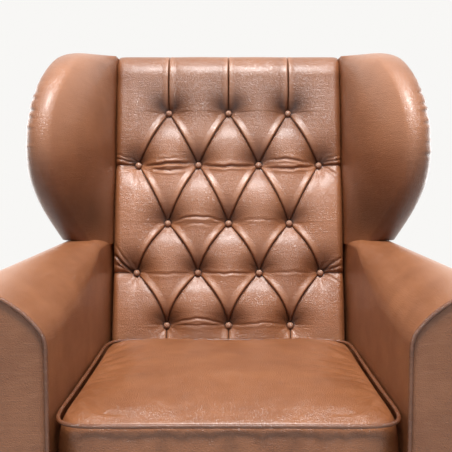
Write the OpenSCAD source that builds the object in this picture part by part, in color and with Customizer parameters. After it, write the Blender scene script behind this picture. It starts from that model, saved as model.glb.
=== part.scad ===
// Wing armchair with a deep-buttoned back, scroll arms and a loose seat cushion.
// Millimetres. The chair faces -Y, +X is to the right of someone who looks at its front, +Z is up.
// The origin is on the floor, in the middle of the chair's width and depth.

/* [Overall] */
// Height of the crest above the floor
overall_height = 1062; // [1000:1:1140]
// Depth from the nose of the cushion to the rear of the crest
overall_depth = 820; // [780:1:880]

/* [Seat] */
// Clear width between the arms
seat_width = 512; // [470:1:580]
// Height of the legs under the seat rails
leg_height = 175; // [140:1:220]
// Height of the seat rails
rail_height = 95; // [80:1:110]
// Thickness of the seat rails
rail_thickness = 30; // [24:1:36]
// Distance that the cushion's nose stands ahead of the arm fronts
cushion_nose = 10; // [6:1:16]
// Height of the cushion's border
cushion_border = 146; // [110:1:160]
// Height of the cushion's crown over its border
cushion_crown = 18; // [8:1:26]
// Distance that the cushion's sides draw in between the corners
cushion_draw = 4; // [1:0.5:7]
// Thickness of the deck pad under the cushion
deck_thickness = 24; // [15:1:25]

/* [Arms] */
// Thickness of an arm at the seat
arm_thickness = 95; // [85:1:110]
// Height of the arm's ridge where the wing stands on it
arm_height = 661; // [640:1:700]
// Height by which the ridge drops towards the front
arm_fall = 23; // [0:1:40]
// Radius of the scroll at the arm's front
scroll_radius = 60; // [50:1:66]
// Radius of the outward sweep below the scroll at the front
sweep_radius = 157; // [130:1:170]
// Radius of the arm's outer roll under the wing
rear_roll_radius = 44; // [36:1:48]
// Thickness of the leather-covered panels
panel_thickness = 8; // [5:1:10]
// Thickness of the facing on the front of each arm
facing_thickness = 4; // [3:0.5:6]
// Thickness of the stuffing over the arm frame
arm_stuffing = 28; // [20:1:32]
// Diameter of the piping cord
piping_diameter = 6.4; // [5:0.2:9]

/* [Back] */
// Height of the deck's surface at the foot of the inside back, and of its pivot line
back_foot_height = 300; // [295:1:310]
// Distance of the inside back's foot behind the chair's middle
back_foot_y = 105; // [90:1:120]
// Recline of the inside back from upright
back_recline = 12; // [9:0.5:14]
// Rake of the outside back from upright
rear_rake = 8; // [5:0.5:9]
// Thickness of the buttoned back pad
back_pad_thickness = 62; // [54:1:68]
// Gap beside the buttoned back pad, up to the line of the arm's inner face
back_side_gap = 5; // [3:1:14]
// Depth of the buttons below the crowns of the pad
button_sink = 30; // [20:1:36]
// Diameter of a covered button
button_diameter = 14; // [12:1:18]
// Distance between two buttons of one row
button_pitch = 134; // [110:1:140]
// Height of the lowest row of buttons, measured up the pad
button_first_row = 176; // [160:1:190]
// Distances between the rows of buttons from the top one down, measured up the pad
button_row_gaps = [119, 131, 109, 114]; // [100:1:132]

/* [Wings] */
// Height at which the wing reaches furthest forward
wing_peak_height = 845; // [800:1:880]
// Distance of the wing's front edge ahead of the chair's middle at that height
wing_reach = 45; // [20:1:70]
// Distance of the wing's front edge behind the chair's middle on the arm
wing_foot_y = 58; // [40:1:80]
// Distance that the wing's outer edge stands out past the arm's outside panel at the widest
wing_flare = 29; // [14:1:34]
// Distance that the wing's outer edge stands in from that panel on the arm
wing_foot_inset = 14; // [11:1:26]
// Thickness of the wing over its stuffing
wing_thickness = 60; // [50:1:66]
// Thickness of the wing's board
wing_board = 25; // [18:1:26]

/* [Legs] */
// Width of a front leg's block
front_block = 58; // [50:1:64]
// Width of a rear leg's block
rear_block = 46; // [40:1:50]
// Width of the front foot
foot_width = 62; // [50:1:70]
// Width of the front ankle
ankle_width = 29; // [24:1:36]
// Distance that the rear foot stands behind its block
rear_leg_rake = 52; // [30:1:60]
// Diameter of a glide under a foot
glide_diameter = 22; // [16:1:26]

/* [Hidden] */

// Gap that keeps stuffed pieces off their neighbours
soft_gap = 0.3;
// Height of a glide under its foot
glide_height = 4;
// Colours of the leather, the timber and the hidden materials
leather = "#a3704f";
leather_dark = "#8a5a3c";
mahogany = "#4a2618";
beech = "#d9b98a";
steel = "#9a9c9e";
jute = "#b79c6d";
lining = "#26211d";

// Places worked out from the sizes above
front_y = -(overall_depth / 2 - cushion_nose);
facing_back_y = front_y + facing_thickness;
rear_y = overall_depth / 2;
seat_half = seat_width / 2;
panel_x = seat_half + arm_thickness;
frame_x = panel_x - panel_thickness;
rail_bottom = leg_height;
rail_top = leg_height + rail_height;
deck_top = back_foot_height;
piping_r = piping_diameter / 2;
back_pad_width = seat_width - 2 * back_side_gap;
wing_half_width = panel_x + wing_flare;
wing_foot_half_width = panel_x - wing_foot_inset;
// Gap between the stuffing of an arm and its frame, and between that frame and the outside panel
frame_gap = 6;
panel_gap = 4;
post_depth = 45;
post_width = 45;
post_x = seat_half + arm_stuffing + frame_gap;
// Height of the stuffing over the crest rail
crest_stuffing = 94;
post_top = overall_height - crest_stuffing;
block_rear_y = rear_plane(rail_bottom) - panel_thickness;
rear_block_depth = 50;
rear_block_front_y = block_rear_y - rear_block_depth;
arm_frame_x = seat_half + arm_stuffing + frame_gap;
arm_frame_width = frame_x - panel_gap - arm_frame_x;
// Height of the stuffing over the arm rail
arm_top_stuffing = 97;
arm_frame_top = arm_height - arm_top_stuffing;
arm_cavity_top = arm_frame_top + 1;
arm_rail_height = 34;
stump_depth = 42;
// The two rails of the back
back_rail_depth = 32;
crest_rail_height = 50;
lower_rail_height = 45;
lower_rail_lift = 40;
// Gap between the leather panels and the legs below them
panel_lift = 3;
panel_bottom = rail_bottom + panel_lift;
// The webbing's straps, which the padded walls of the arms stand over
strap_thickness = 2;
strap_lift = 0.3;
pad_lift = strap_thickness + soft_gap;
board_gap = 0.3;

// Y of the outside back at height z
function rear_plane(z) = rear_y - (overall_height - z) * tan(rear_rake);
// Y of the back posts' front faces at height z
function post_front(z) = rear_plane(z) - panel_thickness - post_depth / cos(rear_rake);
// Y of the inside back's crowns at height z
function back_plane(z) = back_foot_y + (z - back_foot_height) * tan(back_recline);
// Point of the back's own frame: x, distance w up the back and depth v into it
function on_back(x, w, v) = [x,
    back_foot_y + w * sin(back_recline) + v * cos(back_recline),
    back_foot_height + w * cos(back_recline) - v * sin(back_recline)];
function smooth(t) = t * t * (3 - 2 * t);
function mix(a, b, t) = a + (b - a) * t;
function clamp(a, low, high) = max(low, min(high, a));

// Closed body through rings of equal point counts, each ring anticlockwise seen from the last one.
// fold is the direction into the body along which each four-sided face keeps the deeper diagonal
module loft(rings, fold = [0, 0, 0]) {
    n = len(rings);
    m = len(rings[0]);
    points = [for (r = rings) each r];
    sides = [for (i = [0:n - 2], j = [0:m - 1])
        let (a = i * m + j, b = i * m + (j + 1) % m, c = b + m, d = a + m,
            crossed = (points[b] + points[d] - points[a] - points[c]) * fold > 0)
        each crossed ? [[a, d, b], [b, d, c]] : [[a, d, c], [a, c, b]]];
    first = [[for (j = [0:m - 1]) j]];
    last = [[for (j = [m - 1:-1:0]) (n - 1) * m + j]];
    polyhedron(points = points, faces = concat(sides, first, last), convexity = 8);
}

// Round cord along a path, its rings square to the path; up is a direction never along it
module cord(path, radius, up, sides = 6, closed = false) {
    n = len(path);
    m = sides;
    rings = [for (i = [0:n - 1])
        let (before = path[closed ? (i + n - 1) % n : max(i - 1, 0)],
            after = path[closed ? (i + 1) % n : min(i + 1, n - 1)],
            along = (after - before) / norm(after - before),
            side = cross(along, up) / norm(cross(along, up)),
            over = cross(side, along))
        [for (k = [0:m - 1]) let (a = 360 * k / m) path[i] + radius * (cos(a) * side - sin(a) * over)]];
    if (closed)
        polyhedron(points = [for (r = rings) each r], faces = [for (i = [0:n - 1], j = [0:m - 1])
            let (next = (i + 1) % n, turn = (j + 1) % m, a = i * m + j, b = i * m + turn, c = next * m + turn)
            each [[a, next * m + j, c], [a, c, b]]]);
    else
        loft(rings);
}

// Draws the children at their own side and mirrored to the other
module on_side(side) {
    if (side > 0) children();
    else mirror([1, 0, 0]) children();
}

// Share of the way from the wing's foot, 0, to the arm's front, 1
function arm_share(y) = smooth(clamp((wing_foot_y - y) / (wing_foot_y - front_y), 0, 1));
function roll_radius(s) = mix(rear_roll_radius, scroll_radius, s);
function arm_ridge_z(s) = arm_height - arm_fall * s;
// Turns of the arm's outline: a tight bend, the sweep and the roll, with a flat before the roll
function arm_bend(s) = mix(12, 45, s);
function arm_sweep(s) = mix(28, sweep_radius, s);
function arm_flat(s) = mix(panel_x - rear_roll_radius - seat_half - 23.5, 0, s);
bend_end = 38;
sweep_end = 75;
function arm_rise(s) = arm_bend(s) * sin(bend_end)
    + arm_sweep(s) * (sin(sweep_end) - sin(bend_end)) + roll_radius(s) * (1 - sin(sweep_end));
function bend_x(s) = arm_bend(s) * (1 - cos(bend_end));
function sweep_x(s) = bend_x(s) + arm_sweep(s) * (cos(bend_end) - cos(sweep_end));
function roll_centre(s) = [
    seat_half + sweep_x(s) + roll_radius(s) * cos(sweep_end) + arm_flat(s),
    arm_ridge_z(s) - roll_radius(s)];
function roll_end(s) = mix(190, 240, s);
neck_drop = 13;
function neck_z(s) = roll_centre(s)[1] + roll_radius(s) * sin(roll_end(s)) - neck_drop;
// Height at which the scroll roll sits on the padded inner wall
arm_split = arm_ridge_z(1) - arm_rise(1) - 2;

// Outline of the arm from the inner face over the scroll to the neck, as [x, z]
function arm_outline(s, bottom) = let (
    zv = arm_ridge_z(s) - arm_rise(s), c = roll_centre(s), r = roll_radius(s)) concat(
    [[seat_half, bottom], [seat_half, zv]],
    [for (k = [1:3]) let (a = bend_end * k / 3)
        [seat_half + arm_bend(s) * (1 - cos(a)), zv + arm_bend(s) * sin(a)]],
    [for (k = [1:4]) let (a = mix(bend_end, sweep_end, k / 4))
        [seat_half + bend_x(s) + arm_sweep(s) * (cos(bend_end) - cos(a)),
        zv + arm_bend(s) * sin(bend_end) + arm_sweep(s) * (sin(a) - sin(bend_end))]],
    [for (k = [0:8]) let (a = mix(90, roll_end(s), k / 8)) [c[0] - r * cos(a), c[1] + r * sin(a)]],
    [[panel_x, neck_z(s)]]);

// Section of the scroll roll, open below for the arm frame
function arm_section(y) = let (s = arm_share(y)) concat(
    arm_outline(s, arm_split),
    [[frame_x, neck_z(s)], [frame_x, arm_cavity_top],
    [seat_half + arm_stuffing, arm_cavity_top], [seat_half + arm_stuffing, arm_split]]);

arm_stations = 12;
// Stuffed scroll over the arm rail, from the facing to the back post
module arm_roll(side) color(leather) on_side(side) {
    first_y = facing_back_y + soft_gap;
    loft(concat(
        [for (k = [0:arm_stations]) let (y = mix(first_y, wing_foot_y, k / arm_stations))
            [for (p = arm_section(y)) [p[0], y, p[1]]]],
        [[for (p = arm_section(wing_foot_y)) [p[0], post_front(p[1]) - soft_gap, p[1]]]]));
}

// Padded inner wall of the arm, under the scroll
module arm_pad(side) color(leather) on_side(side) {
    start = facing_back_y + soft_gap;
    bottom = rail_top + pad_lift;
    translate([seat_half, 0, 0]) rotate([90, 0, 90]) linear_extrude(arm_stuffing)
        polygon([[start, bottom], [post_front(bottom) - soft_gap, bottom],
            [post_front(arm_split) - soft_gap, arm_split], [start, arm_split]]);
}

module arm_facing(side) color(leather_dark) on_side(side) {
    outline = arm_outline(1, panel_bottom);
    translate([0, facing_back_y, 0]) rotate([90, 0, 0]) linear_extrude(facing_thickness)
        polygon(concat(outline, [[panel_x, panel_bottom]]));
}

module arm_piping(side) color(leather) on_side(side) {
    y = front_y - piping_r - 0.05;
    bottom = panel_bottom + piping_r;
    path = concat([for (p = arm_outline(1, bottom)) [p[0], y, p[1]]], [[panel_x, y, bottom]]);
    cord(path, piping_r, [0, 1, 0]);
}

module outside_arm(side) color(leather) on_side(side) {
    bottom = panel_bottom;
    neck_gap = 0.5;
    top_points = [for (k = [0:arm_stations]) let (y = mix(wing_foot_y, facing_back_y, k / arm_stations))
        [y, neck_z(arm_share(y)) - neck_gap]];
    rear_top = neck_z(0) - neck_gap;
    corner_top = wing_start - soft_gap;
    translate([frame_x, 0, 0]) rotate([90, 0, 90]) linear_extrude(panel_thickness)
        polygon(concat([[facing_back_y, bottom], [rear_plane(bottom), bottom],
            [rear_plane(corner_top), corner_top], [post_front(corner_top), corner_top],
            [post_front(rear_top), rear_top]], top_points));
}

module arm_stump(side) color(beech) on_side(side)
    translate([arm_frame_x, facing_back_y, rail_top])
        cube([arm_frame_width, stump_depth, arm_frame_top - rail_top]);

module arm_rail(side) color(beech) on_side(side) {
    start_y = facing_back_y + stump_depth;
    bottom = arm_frame_top - arm_rail_height;
    translate([arm_frame_x, 0, 0]) rotate([90, 0, 90]) linear_extrude(arm_frame_width)
        polygon([[start_y, bottom], [post_front(bottom), bottom],
            [post_front(arm_frame_top), arm_frame_top], [start_y, arm_frame_top]]);
}

// Back post: a bar raked like the outside back
module back_post(side) color(beech) on_side(side)
    translate([post_x, 0, 0]) rotate([90, 0, 90]) linear_extrude(post_width)
        polygon([[post_front(rail_top), rail_top], [rear_plane(rail_top) - panel_thickness, rail_top],
            [rear_plane(post_top) - panel_thickness, post_top], [post_front(post_top), post_top]]);

// Bar between the back posts, its faces along the rake of the posts
module back_bar(bottom, height) {
    top = bottom + height;
    rear = panel_thickness;
    front = rear + back_rail_depth;
    translate([-post_x, 0, 0]) rotate([90, 0, 90]) linear_extrude(2 * post_x)
        polygon([[rear_plane(bottom) - front, bottom], [rear_plane(bottom) - rear, bottom],
            [rear_plane(top) - rear, top], [rear_plane(top) - front, top]]);
}

module crest_rail() color(beech) back_bar(post_top - crest_rail_height, crest_rail_height);
module lower_back_rail() color(beech) back_bar(rail_top + lower_rail_lift, lower_rail_height);

// Strips of webbing stretched over the front of the two back rails
module back_webbing() color(jute) {
    strip = 50;
    thickness = 2;
    tack_margin = 5;
    low = rail_top + lower_rail_lift + tack_margin;
    high = post_top - tack_margin;
    count = 5;
    span = 2 * post_x - strip - 4 * tack_margin;
    front = panel_thickness + back_rail_depth;
    for (k = [0:count - 1])
        translate([mix(-span / 2, span / 2, k / (count - 1)) - strip / 2, 0, 0])
            rotate([90, 0, 90]) linear_extrude(strip)
                polygon([[rear_plane(low) - front - thickness, low], [rear_plane(low) - front, low],
                    [rear_plane(high) - front, high], [rear_plane(high) - front - thickness, high]]);
}

module outside_back() color(leather) {
    bottom = panel_bottom;
    top = overall_height - 8;
    half = frame_x - soft_gap;
    translate([-half, 0, 0]) rotate([90, 0, 90]) linear_extrude(2 * half)
        polygon([[rear_plane(bottom) - panel_thickness, bottom], [rear_plane(bottom), bottom],
            [rear_plane(top), top], [rear_plane(top) - panel_thickness, top]]);
}

// Tufting: s counts half pitches from the middle, t counts rows down from the top one
row_count = len(button_row_gaps) + 1;
function row_height(t) = t == row_count - 1 ? button_first_row : row_height(t + 1) + button_row_gaps[t];
top_row = row_height(0);
row_at = [for (t = [row_count - 1:-1:0]) [row_height(t), t]];
half_pitch = button_pitch / 2;
side_column = 3;
// 0 on a button or a fold's floor, 1 on the crown of a diamond
function tuft(x, w) = let (
    s = x / half_pitch,
    edge = clamp((abs(s) - side_column) / 0.75, 0, 1),
    sc = clamp(abs(s), 0, side_column),
    t = lookup(w, row_at),
    a = abs(sin(90 * (sc + t))),
    b = abs(sin(90 * (sc - t))),
    ridge = pow(a * b, 0.45),
    relief = 0.45 * max(a, b),
    full = relief + (1 - relief) * ridge)
    mix(full, 0.5 + 0.5 * full, edge);

pad_bottom = 14;
// Distance by which the whole pad falls away from its fullest place
function fall(x, w) = 5 * pow(x / (back_pad_width / 2), 2) + 5 * pow((w - 380) / 360, 2);
// Distance up the back at which the pad starts to roll over the crest
crest_roll = 66;
// Depth from the crowns to the outside back at the crest
crest_turn = overall_height - crest_roll;
crest_depth = (rear_plane(crest_turn) - back_plane(crest_turn)) * cos(back_recline) - panel_thickness - 2;
crest_middle = 2 + (crest_depth - 2) / 2;
crest_start = (overall_height - back_foot_height + crest_middle * sin(back_recline)
    - norm([crest_roll * cos(back_recline), crest_middle * sin(back_recline)])) / cos(back_recline);
front_ws = concat([for (k = [0:3]) mix(pad_bottom, button_first_row, k / 4)],
    [for (t = [row_count - 1:-1:1], k = [0:3]) mix(row_height(t), row_height(t - 1), k / 4)],
    [top_row, mix(top_row, crest_start, 0.5), crest_start]);
function pad_section(x) = concat(
    [for (w = front_ws) on_back(x, w, 2 + fall(x, w) + button_sink * (1 - tuft(x, w)))],
    [for (k = [1:6]) let (a = 180 * k / 7,
            sink = (fall(x, crest_start) + button_sink * (1 - tuft(x, crest_start))) * (1 - k / 6))
        on_back(x, crest_start + crest_roll * sin(a), 2 + sink + (crest_depth - 2) * (1 - cos(a)) / 2)],
    [on_back(x, crest_start, crest_depth),
    on_back(x, crest_start, back_pad_thickness), on_back(x, pad_bottom, back_pad_thickness)]);

module back_pad() color(leather) {
    half = back_pad_width / 2;
    column = half_pitch / 4;
    columns = floor((half - column / 2) / column);
    xs = concat([-half], [for (k = [-columns:columns]) k * column], [half]);
    loft([for (x = xs) let (ring = pad_section(x)) [for (k = [len(ring) - 1:-1:0]) ring[k]]],
        fold = [0, cos(back_recline), -sin(back_recline)]);
}

// Covered button: a low dome on a short stem that its twine pulls into the pad
module button_at(x, w) {
    r = button_diameter / 2;
    dome = 5.5;
    place = on_back(x, w, button_sink - 2 + fall(x, w));
    sphere_r = (r * r + dome * dome) / (2 * dome);
    translate(place) rotate([90 - back_recline, 0, 0])
        intersection() {
            translate([0, 0, dome - sphere_r]) sphere(sphere_r, $fn = 48);
            cylinder(h = dome + 1, r = r + 1, $fn = 48);
        }
}

module back_buttons() color(leather_dark)
    for (t = [0:row_count - 1]) {
        columns = t % 2 == 0 ? [-2, 0, 2] : [-3, -1, 1, 3];
        for (s = columns) button_at(s * half_pitch, row_height(t));
    }

// Wing: front edge and outer edge at height z
wing_top = overall_height - 6;
wing_start = arm_height + soft_gap;
function wing_front(z) = z < wing_peak_height
    ? mix(wing_foot_y, -wing_reach, sin(90 * (z - wing_start) / (wing_peak_height - wing_start)))
    : let (u = clamp((z - wing_peak_height) / (wing_top + 4 - wing_peak_height), 0, 1))
        mix(-wing_reach, back_plane(wing_top) + 10, 1 - sqrt(1 - u * u));
function wing_outer(z) = z < wing_peak_height
    ? mix(wing_foot_half_width, wing_half_width,
        sin(min(90, 104 * (z - wing_start) / (wing_peak_height - wing_start))))
    : let (u = (z - wing_peak_height) / (wing_top - wing_peak_height))
        mix(wing_half_width, panel_x - 1, u * u);
wing_x = back_pad_width / 2 + 1;
wing_edge = wing_thickness / 2;
function wing_centre(z) = [wing_outer(z) - wing_edge, wing_front(z) + wing_edge];
function wing_splay(z) = let (c = wing_centre(z))
    atan2(c[0] - wing_edge - wing_x, max(30, back_plane(z) - c[1]));
function outward(z) = [cos(wing_splay(z)), sin(wing_splay(z))];
function backward(z) = [-sin(wing_splay(z)), cos(wing_splay(z))];
// Direction of the wing's outside face, from its rounded edge to the corner of the outside back
function outer_way(z) =
    let (way = [panel_x, rear_plane(z)] - wing_centre(z) - wing_edge * outward(z)) way / norm(way);
// Distance from the edge's centre at which the outer return ends
function wing_return(z) = max(12, 0.3 * (back_plane(z) - wing_centre(z)[1]));

// Section of the wing's stuffing at height z, open to the rear for the board
function wing_section(z) = let (
    c = wing_centre(z), o = outward(z), yb = back_plane(z) + 6,
    end = c + wing_edge * o + wing_return(z) * outer_way(z),
    inner_half = wing_board / 2 + board_gap) concat(
    [[wing_x, yb + back_pad_thickness], [wing_x, yb]],
    [for (k = [0:8]) let (a = 180 + wing_splay(z) + 180 * k / 8) c + wing_edge * [cos(a), sin(a)]],
    [end, end - (wing_edge - inner_half) * o,
    c + inner_half * o, c - inner_half * o,
    [wing_x + wing_edge - inner_half, yb + 4], [wing_x + wing_edge - inner_half, yb + back_pad_thickness]]);

// Section through the wing's closed top, with as many points as the open section below it
function wing_top_section(z, inset) = let (
    c = wing_centre(z), o = outward(z), r = wing_edge - inset,
    yb = back_plane(z) + 6, yr = rear_plane(z) - panel_thickness - 1 - inset,
    end = c + r * o + wing_return(z) * outer_way(z)) concat(
    [[wing_x, yr], [wing_x, yb]],
    [for (k = [0:8]) let (a = 180 + wing_splay(z) + 180 * k / 8) c + r * [cos(a), sin(a)]],
    [end],
    [for (k = [0:4]) [mix(panel_x - inset, wing_x, k / 5), yr - 4 * sin(180 * k / 5)]]);

cap_start = post_top + 3;
module wing_pad(side) color(leather) on_side(side) {
    levels = [for (k = [0:11]) mix(wing_start, cap_start, k / 11)];
    insets = [0, 0, 5, 14];
    heights = [cap_start + 2, mix(cap_start, wing_top, 0.45), mix(cap_start, wing_top, 0.85), wing_top];
    loft(concat(
        [for (z = levels) [for (p = wing_section(z)) [p[0], p[1], z]]],
        [for (k = [0:3]) [for (p = wing_top_section(heights[k], insets[k])) [p[0], p[1], heights[k]]]]));
}

module wing_frame(side) color(beech) on_side(side) {
    top = post_top - 1;
    levels = [for (k = [0:9]) mix(wing_start + 1, top, k / 9)];
    half = wing_board / 2;
    loft([for (z = levels) let (c = wing_centre(z), o = outward(z), b = backward(z),
            yr = post_front(z), inner = [post_x + 1, yr], outer = [post_x + 1 + wing_board, yr])
        [for (p = [inner, c - half * o + b, c + half * o + b, outer]) [p[0], p[1], z]]]);
}

module outside_wing(side) color(leather) on_side(side) {
    levels = [for (k = [0:9]) mix(wing_start, cap_start - soft_gap, k / 9)];
    loft([for (z = levels) let (c = wing_centre(z), o = outward(z), yr = rear_plane(z),
            start = c + wing_edge * o + (wing_return(z) + 3 * soft_gap) * outer_way(z),
            section = [start - panel_thickness * o, start, [panel_x, yr], [frame_x, yr],
                [frame_x, yr - panel_thickness - 2]])
        [for (p = section) [p[0], p[1], z]]]);
}

// Seat frame
module front_block_solid() translate([frame_x - front_block, facing_back_y, rail_bottom])
    cube([front_block, front_block, rail_height]);

// Rounded square as a list of points, each corner in steps
function rounded_square(width, corner, steps) = [for (q = [0:3], k = [0:steps]) let (
    a = 90 * q + 90 * k / steps,
    m = width / 2 - corner,
    sx = (q == 0 || q == 3) ? 1 : -1,
    sy = q < 2 ? 1 : -1)
    [sx * m + corner * cos(a), sy * m + corner * sin(a)]];

// Front leg: a curved leg with a full knee, a slim ankle and a round pad foot
module front_leg(side) color(mahogany) on_side(side) {
    cx = frame_x - front_block / 2;
    cy = facing_back_y + front_block / 2;
    height = leg_height - glide_height;
    levels = 14;
    front_block_solid();
    loft([for (k = [0:levels]) let (
            t = k / levels, z = glide_height + height * t,
            pad = t < 0.16 ? sqrt(max(0, 1 - pow((t - 0.09) / 0.115, 2))) : 0,
            body = t < 0.3 ? ankle_width : mix(ankle_width, front_block, pow(sin(90 * (t - 0.3) / 0.7), 1.4)),
            width = max(body, (foot_width - 6) * pad + 6 * (t < 0.16 ? 1 : 0)),
            corner = width * mix(0.49, 0.16, clamp((t - 0.25) / 0.6, 0, 1)),
            out = 9 * sin(180 * clamp((t - 0.45) / 0.55, 0, 1)) + 5 * (1 - smooth(clamp(t / 0.35, 0, 1)))
                - 3 * sin(180 * clamp((t - 0.1) / 0.4, 0, 1)))
        [for (p = rounded_square(width, corner, 3)) [cx + out + p[0], cy - out + p[1], z]]]);
}

// Rear leg: a square leg that rakes back in a shallow curve
module rear_leg(side) color(mahogany) on_side(side) {
    cx = frame_x - rear_block / 2;
    cy = (rear_block_front_y + block_rear_y) / 2;
    depth = block_rear_y - rear_block_front_y;
    levels = 6;
    translate([frame_x - rear_block, rear_block_front_y, rail_bottom]) cube([rear_block, depth, rail_height]);
    loft([for (k = [0:levels]) let (
            t = k / levels, z = mix(glide_height, rail_bottom, t),
            hx = mix(16, rear_block / 2, t), hy = mix(17, depth / 2, t),
            back = rear_leg_rake * pow(1 - t, 1.6))
        [for (p = [[-hx, -hy], [hx, -hy], [hx, hy], [-hx, hy]]) [cx + p[0], cy + back + p[1], z]]]);
}

module glides() color(steel) {
    fx = frame_x - front_block / 2 + 5;
    fy = facing_back_y + front_block / 2 - 5;
    bx = frame_x - rear_block / 2;
    by = (rear_block_front_y + block_rear_y) / 2 + rear_leg_rake;
    for (p = [[fx, fy], [-fx, fy], [bx, by], [-bx, by]])
        translate([p[0], p[1], 0]) cylinder(h = glide_height, d = glide_diameter, $fn = 48);
}

module seat_rail_front() color(beech) {
    half = frame_x - front_block;
    translate([-half, facing_back_y, rail_bottom]) cube([2 * half, rail_thickness, rail_height]);
}

module seat_rail_back() color(beech) {
    half = frame_x - rear_block;
    translate([-half, block_rear_y - rail_thickness, rail_bottom])
        cube([2 * half, rail_thickness, rail_height]);
}

module seat_rail_side(side) color(beech) on_side(side) {
    start = facing_back_y + front_block;
    translate([frame_x - rail_thickness, start, rail_bottom])
        cube([rail_thickness, rear_block_front_y - start, rail_height]);
}

// Braces across the four inner corners of the seat frame
module corner_blocks() color(beech) {
    height = 50;
    reach = 62;
    rx = frame_x - rail_thickness;
    fy = facing_back_y + rail_thickness;
    fx = frame_x - front_block;
    fby = facing_back_y + front_block;
    by = block_rear_y - rail_thickness;
    bx = frame_x - rear_block;
    for (side = [-1, 1]) on_side(side)
        translate([0, 0, rail_bottom + 20]) linear_extrude(height) {
            polygon([[fx - reach, fy], [fx, fy], [fx, fby], [rx, fby], [rx, fby + reach]]);
            polygon([[bx - reach, by], [rx, rear_block_front_y - reach], [rx, rear_block_front_y],
                [bx, rear_block_front_y], [bx, by]]);
        }
}

// Woven webbing over the seat frame: straps pass over and under each other by turns
strap_width = 50;
long_count = 5;
cross_count = 6;
strap_land = 22;
long_start = facing_back_y + rail_thickness - strap_land;
long_end = block_rear_y - rail_thickness + strap_land;
cross_end = frame_x - rail_thickness + strap_land;
long_pitch = 2 * (frame_x - rail_thickness - strap_width) / long_count;
cross_pitch = (long_end - long_start - 2 * strap_land) / cross_count;
function long_x(i) = (i - (long_count - 1) / 2) * long_pitch;
function cross_y(j) = (long_start + long_end) / 2 + (j - (cross_count - 1) / 2) * cross_pitch;

// Strip of webbing along +X of its own frame, raised over every second strap that it crosses
module woven_strap(start, end, crossings, first_over) {
    high = strap_thickness + strap_lift;
    half = strap_width / 2 + 2;
    ramp = 10;
    under = concat([[start, 0]],
        [for (k = [0:len(crossings) - 1], q = [-half - ramp, -half, half, half + ramp])
            if ((k + first_over) % 2 == 0) [crossings[k] + q, abs(q) == half ? high : 0]],
        [[end, 0]]);
    over = [for (k = [len(under) - 1:-1:0]) under[k] + [0, strap_thickness]];
    translate([0, strap_width / 2, 0]) rotate([90, 0, 0]) linear_extrude(strap_width)
        polygon(concat(under, over));
}

module webbing_lengthwise() color(jute)
    for (i = [0:long_count - 1]) translate([long_x(i), 0, rail_top]) rotate([0, 0, 90])
        woven_strap(long_start, long_end, [for (j = [0:cross_count - 1]) cross_y(j)], i % 2);

module webbing_crosswise() color(jute)
    for (j = [0:cross_count - 1]) translate([0, cross_y(j), rail_top])
        woven_strap(-cross_end, cross_end, [for (i = [0:long_count - 1]) long_x(i)], (j + 1) % 2);

module deck_pad() color(lining) {
    bottom = deck_top - deck_thickness;
    start = facing_back_y + soft_gap;
    half = seat_half - soft_gap;
    translate([-half, start, bottom]) cube([2 * half, rear_plane(deck_top) - 60 - start, deck_thickness]);
}

// Cloth under the seat frame, cut out round the legs
module dust_cover() color(lining) {
    thickness = 1.5;
    margin = 2;
    half = frame_x - margin;
    front = facing_back_y + margin;
    rear = block_rear_y - margin;
    front_cut = frame_x - front_block - margin;
    rear_cut = frame_x - rear_block - margin;
    front_step = facing_back_y + front_block + margin;
    rear_step = rear_block_front_y - margin;
    right = [[front_cut, front], [front_cut, front_step], [half, front_step],
        [half, rear_step], [rear_cut, rear_step], [rear_cut, rear]];
    translate([0, 0, rail_bottom - thickness]) linear_extrude(thickness)
        polygon(concat(right, [for (k = [len(right) - 1:-1:0]) [-right[k][0], right[k][1]]]));
}

module front_border() color(leather)
    translate([-(seat_half - soft_gap), front_y, panel_bottom])
        cube([2 * (seat_half - soft_gap), facing_thickness, deck_top - panel_bottom]);

module border_piping() color(leather)
    translate([-(seat_half - piping_r - 1), front_y - piping_r, deck_top - piping_r])
        rotate([0, 90, 0]) cylinder(h = 2 * (seat_half - piping_r - 1), r = piping_r, $fn = 24);

// Loose cushion: rings of a rounded rectangle from the underside to the crown
cushion_bottom = deck_top + soft_gap;
cushion_top = cushion_bottom + cushion_border;
cushion_half = seat_half - 2.5;
cushion_front = -overall_depth / 2 + piping_r;
function cushion_back(z) = back_plane(z) - 3;
// Point of the cushion's outline at angle a, drawn in between the corners by draw
function cushion_point(a, z, inset, draw) = let (
    hx = cushion_half - inset, yf = cushion_front + inset, yb = cushion_back(z) - inset,
    hy = (yb - yf) / 2, cy = (yb + yf) / 2, n = 0.2,
    cx = pow(abs(cos(a)), n) * sign(cos(a)), sy = pow(abs(sin(a)), n) * sign(sin(a)),
    pull = draw * (1 - pow(abs(sin(2 * a)), 0.5)))
    [cx * (hx - pull * abs(cos(a))), cy + sy * (hy - pull * abs(sin(a))), z];
cushion_steps = 44;
function cushion_angle(k) = let (u = k / cushion_steps * 360) u + 5 * sin(4 * u);
// Scale towards the middle for the flat rings of the top and the underside
function shrink(ring, share, z) = let (cy = (cushion_front + cushion_back(z)) / 2)
    [for (p = ring) [p[0] * share, cy + (p[1] - cy) * share, z]];

module seat_cushion() color(leather) {
    edge = piping_r;
    side_levels = [0, 0.25, 0.5, 0.75, 1];
    side = [for (u = side_levels) let (z = mix(cushion_bottom + edge, cushion_top - edge, u),
            belly = 2.4 * sin(180 * u))
        [for (k = [0:cushion_steps - 1]) cushion_point(cushion_angle(k), z, edge + 2 - belly, cushion_draw)]];
    under = [for (share = [0.5, 0.9, 0.985]) shrink(side[0], share, cushion_bottom + (share > 0.95 ? 1 : 0))];
    crown = [for (u = [0.02, 0.1, 0.22, 0.38, 0.56, 0.74, 0.9])
        shrink(side[4], 1 - u, cushion_top - 1 + (cushion_crown + 1) * sin(90 * min(1, 1.15 * pow(u, 0.6))))];
    loft(concat(under, side, crown));
}

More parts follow.
